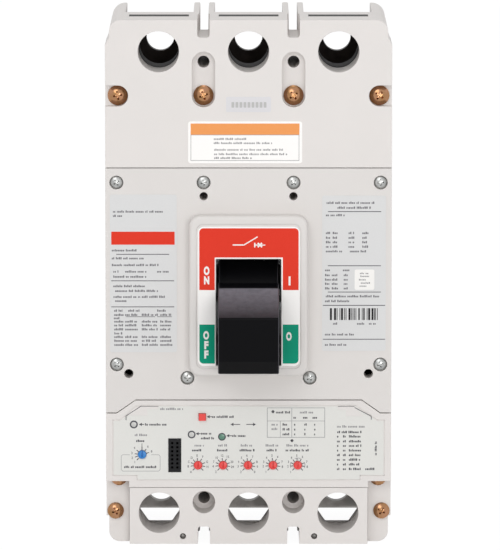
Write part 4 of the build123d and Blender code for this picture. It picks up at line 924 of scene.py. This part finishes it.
# a pale gasket just under the joint round the trip unit
gasket = {
    "depth": 94.8, "wide": 0.7, "overlap": 0.2,
    "right": [(52.2, -60.2), (59.7, -65.2), (63.0, -67.4), (66.2, -67.4), (66.2, -94.6), (54.4, -94.6),
              (54.4, -96.8)],
}
outline = gasket["right"] + [(-x, z) for x, z in reversed(gasket["right"])]
piece = openPiece("jointGasket")
for (x0, z0), (x1, z1) in zip(outline, outline[1:] + outline[:1]):
    length = math.hypot(x1 - x0, z1 - z0)
    angle = math.degrees(math.atan2(z1 - z0, x1 - x0))
    addMark(gasket["depth"], (x0 + x1) / 2, (z0 + z1) / 2, length + gasket["overlap"], gasket["wide"],
            angle)
pullFilm()
closePiece(piece, casePlastic)


# indicator lenses: shallow domes with a dark ring around each
lamps = {
    "radius": 1.58, "back": 90.2, "rim": 95.25, "near": 0.01, "slope": 0.45, "rise": 0.15,
    "ringThick": 0.1,
    "clear": [(-56.0, -69.4), (-27.8, -74.4)], "green": [(-13.0, -75.5)],
    "rings": [(-56.0, -69.4, 1.95, 1.3), (-27.8, -74.4, 1.9, 1.3), (-13.0, -75.5, 1.9, 1.45)],
}


def lensPiece(name, places, finish, nodes=()):
    piece = openPiece(name)
    for x, z in places:
        bpy.ops.mesh.primitive_cylinder_add(
            vertices=40, radius=lamps["radius"] * mm, depth=(lamps["rim"] - lamps["back"]) * mm,
            location=at(x, (lamps["rim"] + lamps["back"]) / 2, z), rotation=upright)
        chooseFaces(piece, lambda faceX, depth, faceZ: depth > lamps["rim"] - lamps["near"]
                    and abs(faceX - x) < lamps["radius"])
        bpy.ops.mesh.inset(thickness=lamps["slope"] * mm)
        bpy.ops.transform.translate(value=(0, -lamps["rise"] * mm, 0))
    closePiece(piece, finish, nodes)


lensPiece("indicatorLenses", lamps["clear"], lensPlastic, ["indicator_lenses"])
lensPiece("greenIndicator", lamps["green"], greenLens)
piece = openPiece("lampRings")
for x, z, outer, inner in lamps["rings"]:
    bpy.ops.mesh.primitive_circle_add(vertices=40, radius=outer * mm, fill_type="NGON",
                                      location=at(x, tripFace["depth"] - film["sink"], z), rotation=upright)
    bpy.ops.mesh.inset(thickness=(outer - inner) * mm)
    bpy.ops.mesh.delete(type="FACE")
pullFilm(lamps["ringThick"])
closePiece(piece, darkInk)


# setting dials: the moulded heads with a softened rim and a screwdriver slot
dials = {"radius": 0.15, "heads": {
    "maintenance_dial": "maintenanceKnob", "long_pickup_dial": "longPickupKnob",
    "long_time_dial": "longTimeKnob", "short_pickup_dial": "shortPickupKnob",
    "short_time_dial": "shortTimeKnob", "ground_pickup_dial": "groundPickupKnob"}}
for node, name in dials["heads"].items():
    roundedShell(name, node, dials["radius"], node)
print("dials and lenses made")


# camera: far off, a little above the front
view = {  # the aim is in millimetres, the distances are in metres
    "lens": 410.3, "sensor": 36, "distance": 3.05, "pitch": 7.7, "aim": (0.7, -95, 4.15), "near": 0.1,
    "far": 40,
}
tilt = math.radians(view["pitch"])
sideways, forward, height = [part * mm for part in view["aim"]]
bpy.ops.object.camera_add(
    location=(sideways, forward - view["distance"] * math.cos(tilt),
              height + view["distance"] * math.sin(tilt)),
    rotation=(math.pi / 2 - tilt, 0, 0))
camera = bpy.context.object
camera.data.lens = view["lens"]
camera.data.sensor_width = view["sensor"]
camera.data.clip_start = view["near"]
camera.data.clip_end = view["far"]
scene = bpy.context.scene
scene.camera = camera
scene.view_settings.view_transform = "Standard"


# floor, light and background
studio = {
    "floorSize": 14.0, "floorWhite": 0.85, "floorGlow": 1.05, "glowShare": 0.92, "sky": 0.68,
    "lamps": {  # place, aim, size and power
        "keyLight": ((-0.7, -2.3, 1.3), (0, 0, 0), 1.4, 12.0),
        "topLight": ((0.0, -0.5, 2.2), (0, 0, 0), 0.9, 3.0),
        "fillLight": ((0.5, -2.6, -0.05), (0, 0, -0.05), 1.0, 22.0)},
}


def seenDirectly(tree):
    # 1 for what the camera, a mirror or a clear part shows of the white paper, 0 for its light
    path = addNode(tree, "ShaderNodeLightPath")
    seen = addNode(tree, "ShaderNodeMath", {"operation": "MAXIMUM"},
                   {0: path.outputs["Is Camera Ray"], 1: path.outputs["Is Glossy Ray"]})
    return addNode(tree, "ShaderNodeMath", {"operation": "MAXIMUM"},
                   {0: seen.outputs[0], 1: path.outputs["Is Transmission Ray"]})


bpy.ops.mesh.primitive_plane_add(size=studio["floorSize"], location=(0, 0, cadBox[0][2]))
floor = bpy.context.object
floor.name = "studioFloor"
material = bpy.data.materials.new("floorPaper")
material.use_nodes = True
tree = material.node_tree
tree.nodes.clear()
share = addNode(tree, "ShaderNodeMath", {"operation": "MULTIPLY", 1: studio["glowShare"]},
                {0: seenDirectly(tree).outputs[0]})
paper = addNode(tree, "ShaderNodeBsdfDiffuse", {"Color": (studio["floorWhite"],) * 3 + (1,)})
glow = addNode(tree, "ShaderNodeEmission", {"Color": (1, 1, 1, 1), "Strength": studio["floorGlow"]})
mixed = addNode(tree, "ShaderNodeMixShader", {}, {0: share.outputs[0], 1: paper.outputs[0],
                                                  2: glow.outputs[0]})
addNode(tree, "ShaderNodeOutputMaterial", {}, {"Surface": mixed.outputs[0]})
floor.data.materials.append(material)

world = bpy.data.worlds.new("studioAir")
world.use_nodes = True
scene.world = world
tree = world.node_tree
tree.nodes.clear()
strength = addNode(tree, "ShaderNodeMapRange", {"To Min": studio["sky"], "To Max": 1.0},
                   {"Value": seenDirectly(tree).outputs[0]})
air = addNode(tree, "ShaderNodeBackground", {"Color": (1, 1, 1, 1)}, {"Strength": strength.outputs[0]})
addNode(tree, "ShaderNodeOutputWorld", {}, {"Surface": air.outputs[0]})

for name, (place, aim, size, power) in studio["lamps"].items():
    bpy.ops.object.light_add(type="AREA", location=place)
    lamp = bpy.context.object
    lamp.name = name
    lamp.rotation_euler = (Vector(aim) - Vector(place)).to_track_quat("-Z", "Y").to_euler()
    lamp.data.shape = "DISK"
    lamp.data.size = size
    lamp.data.energy = power
print("studio ready")
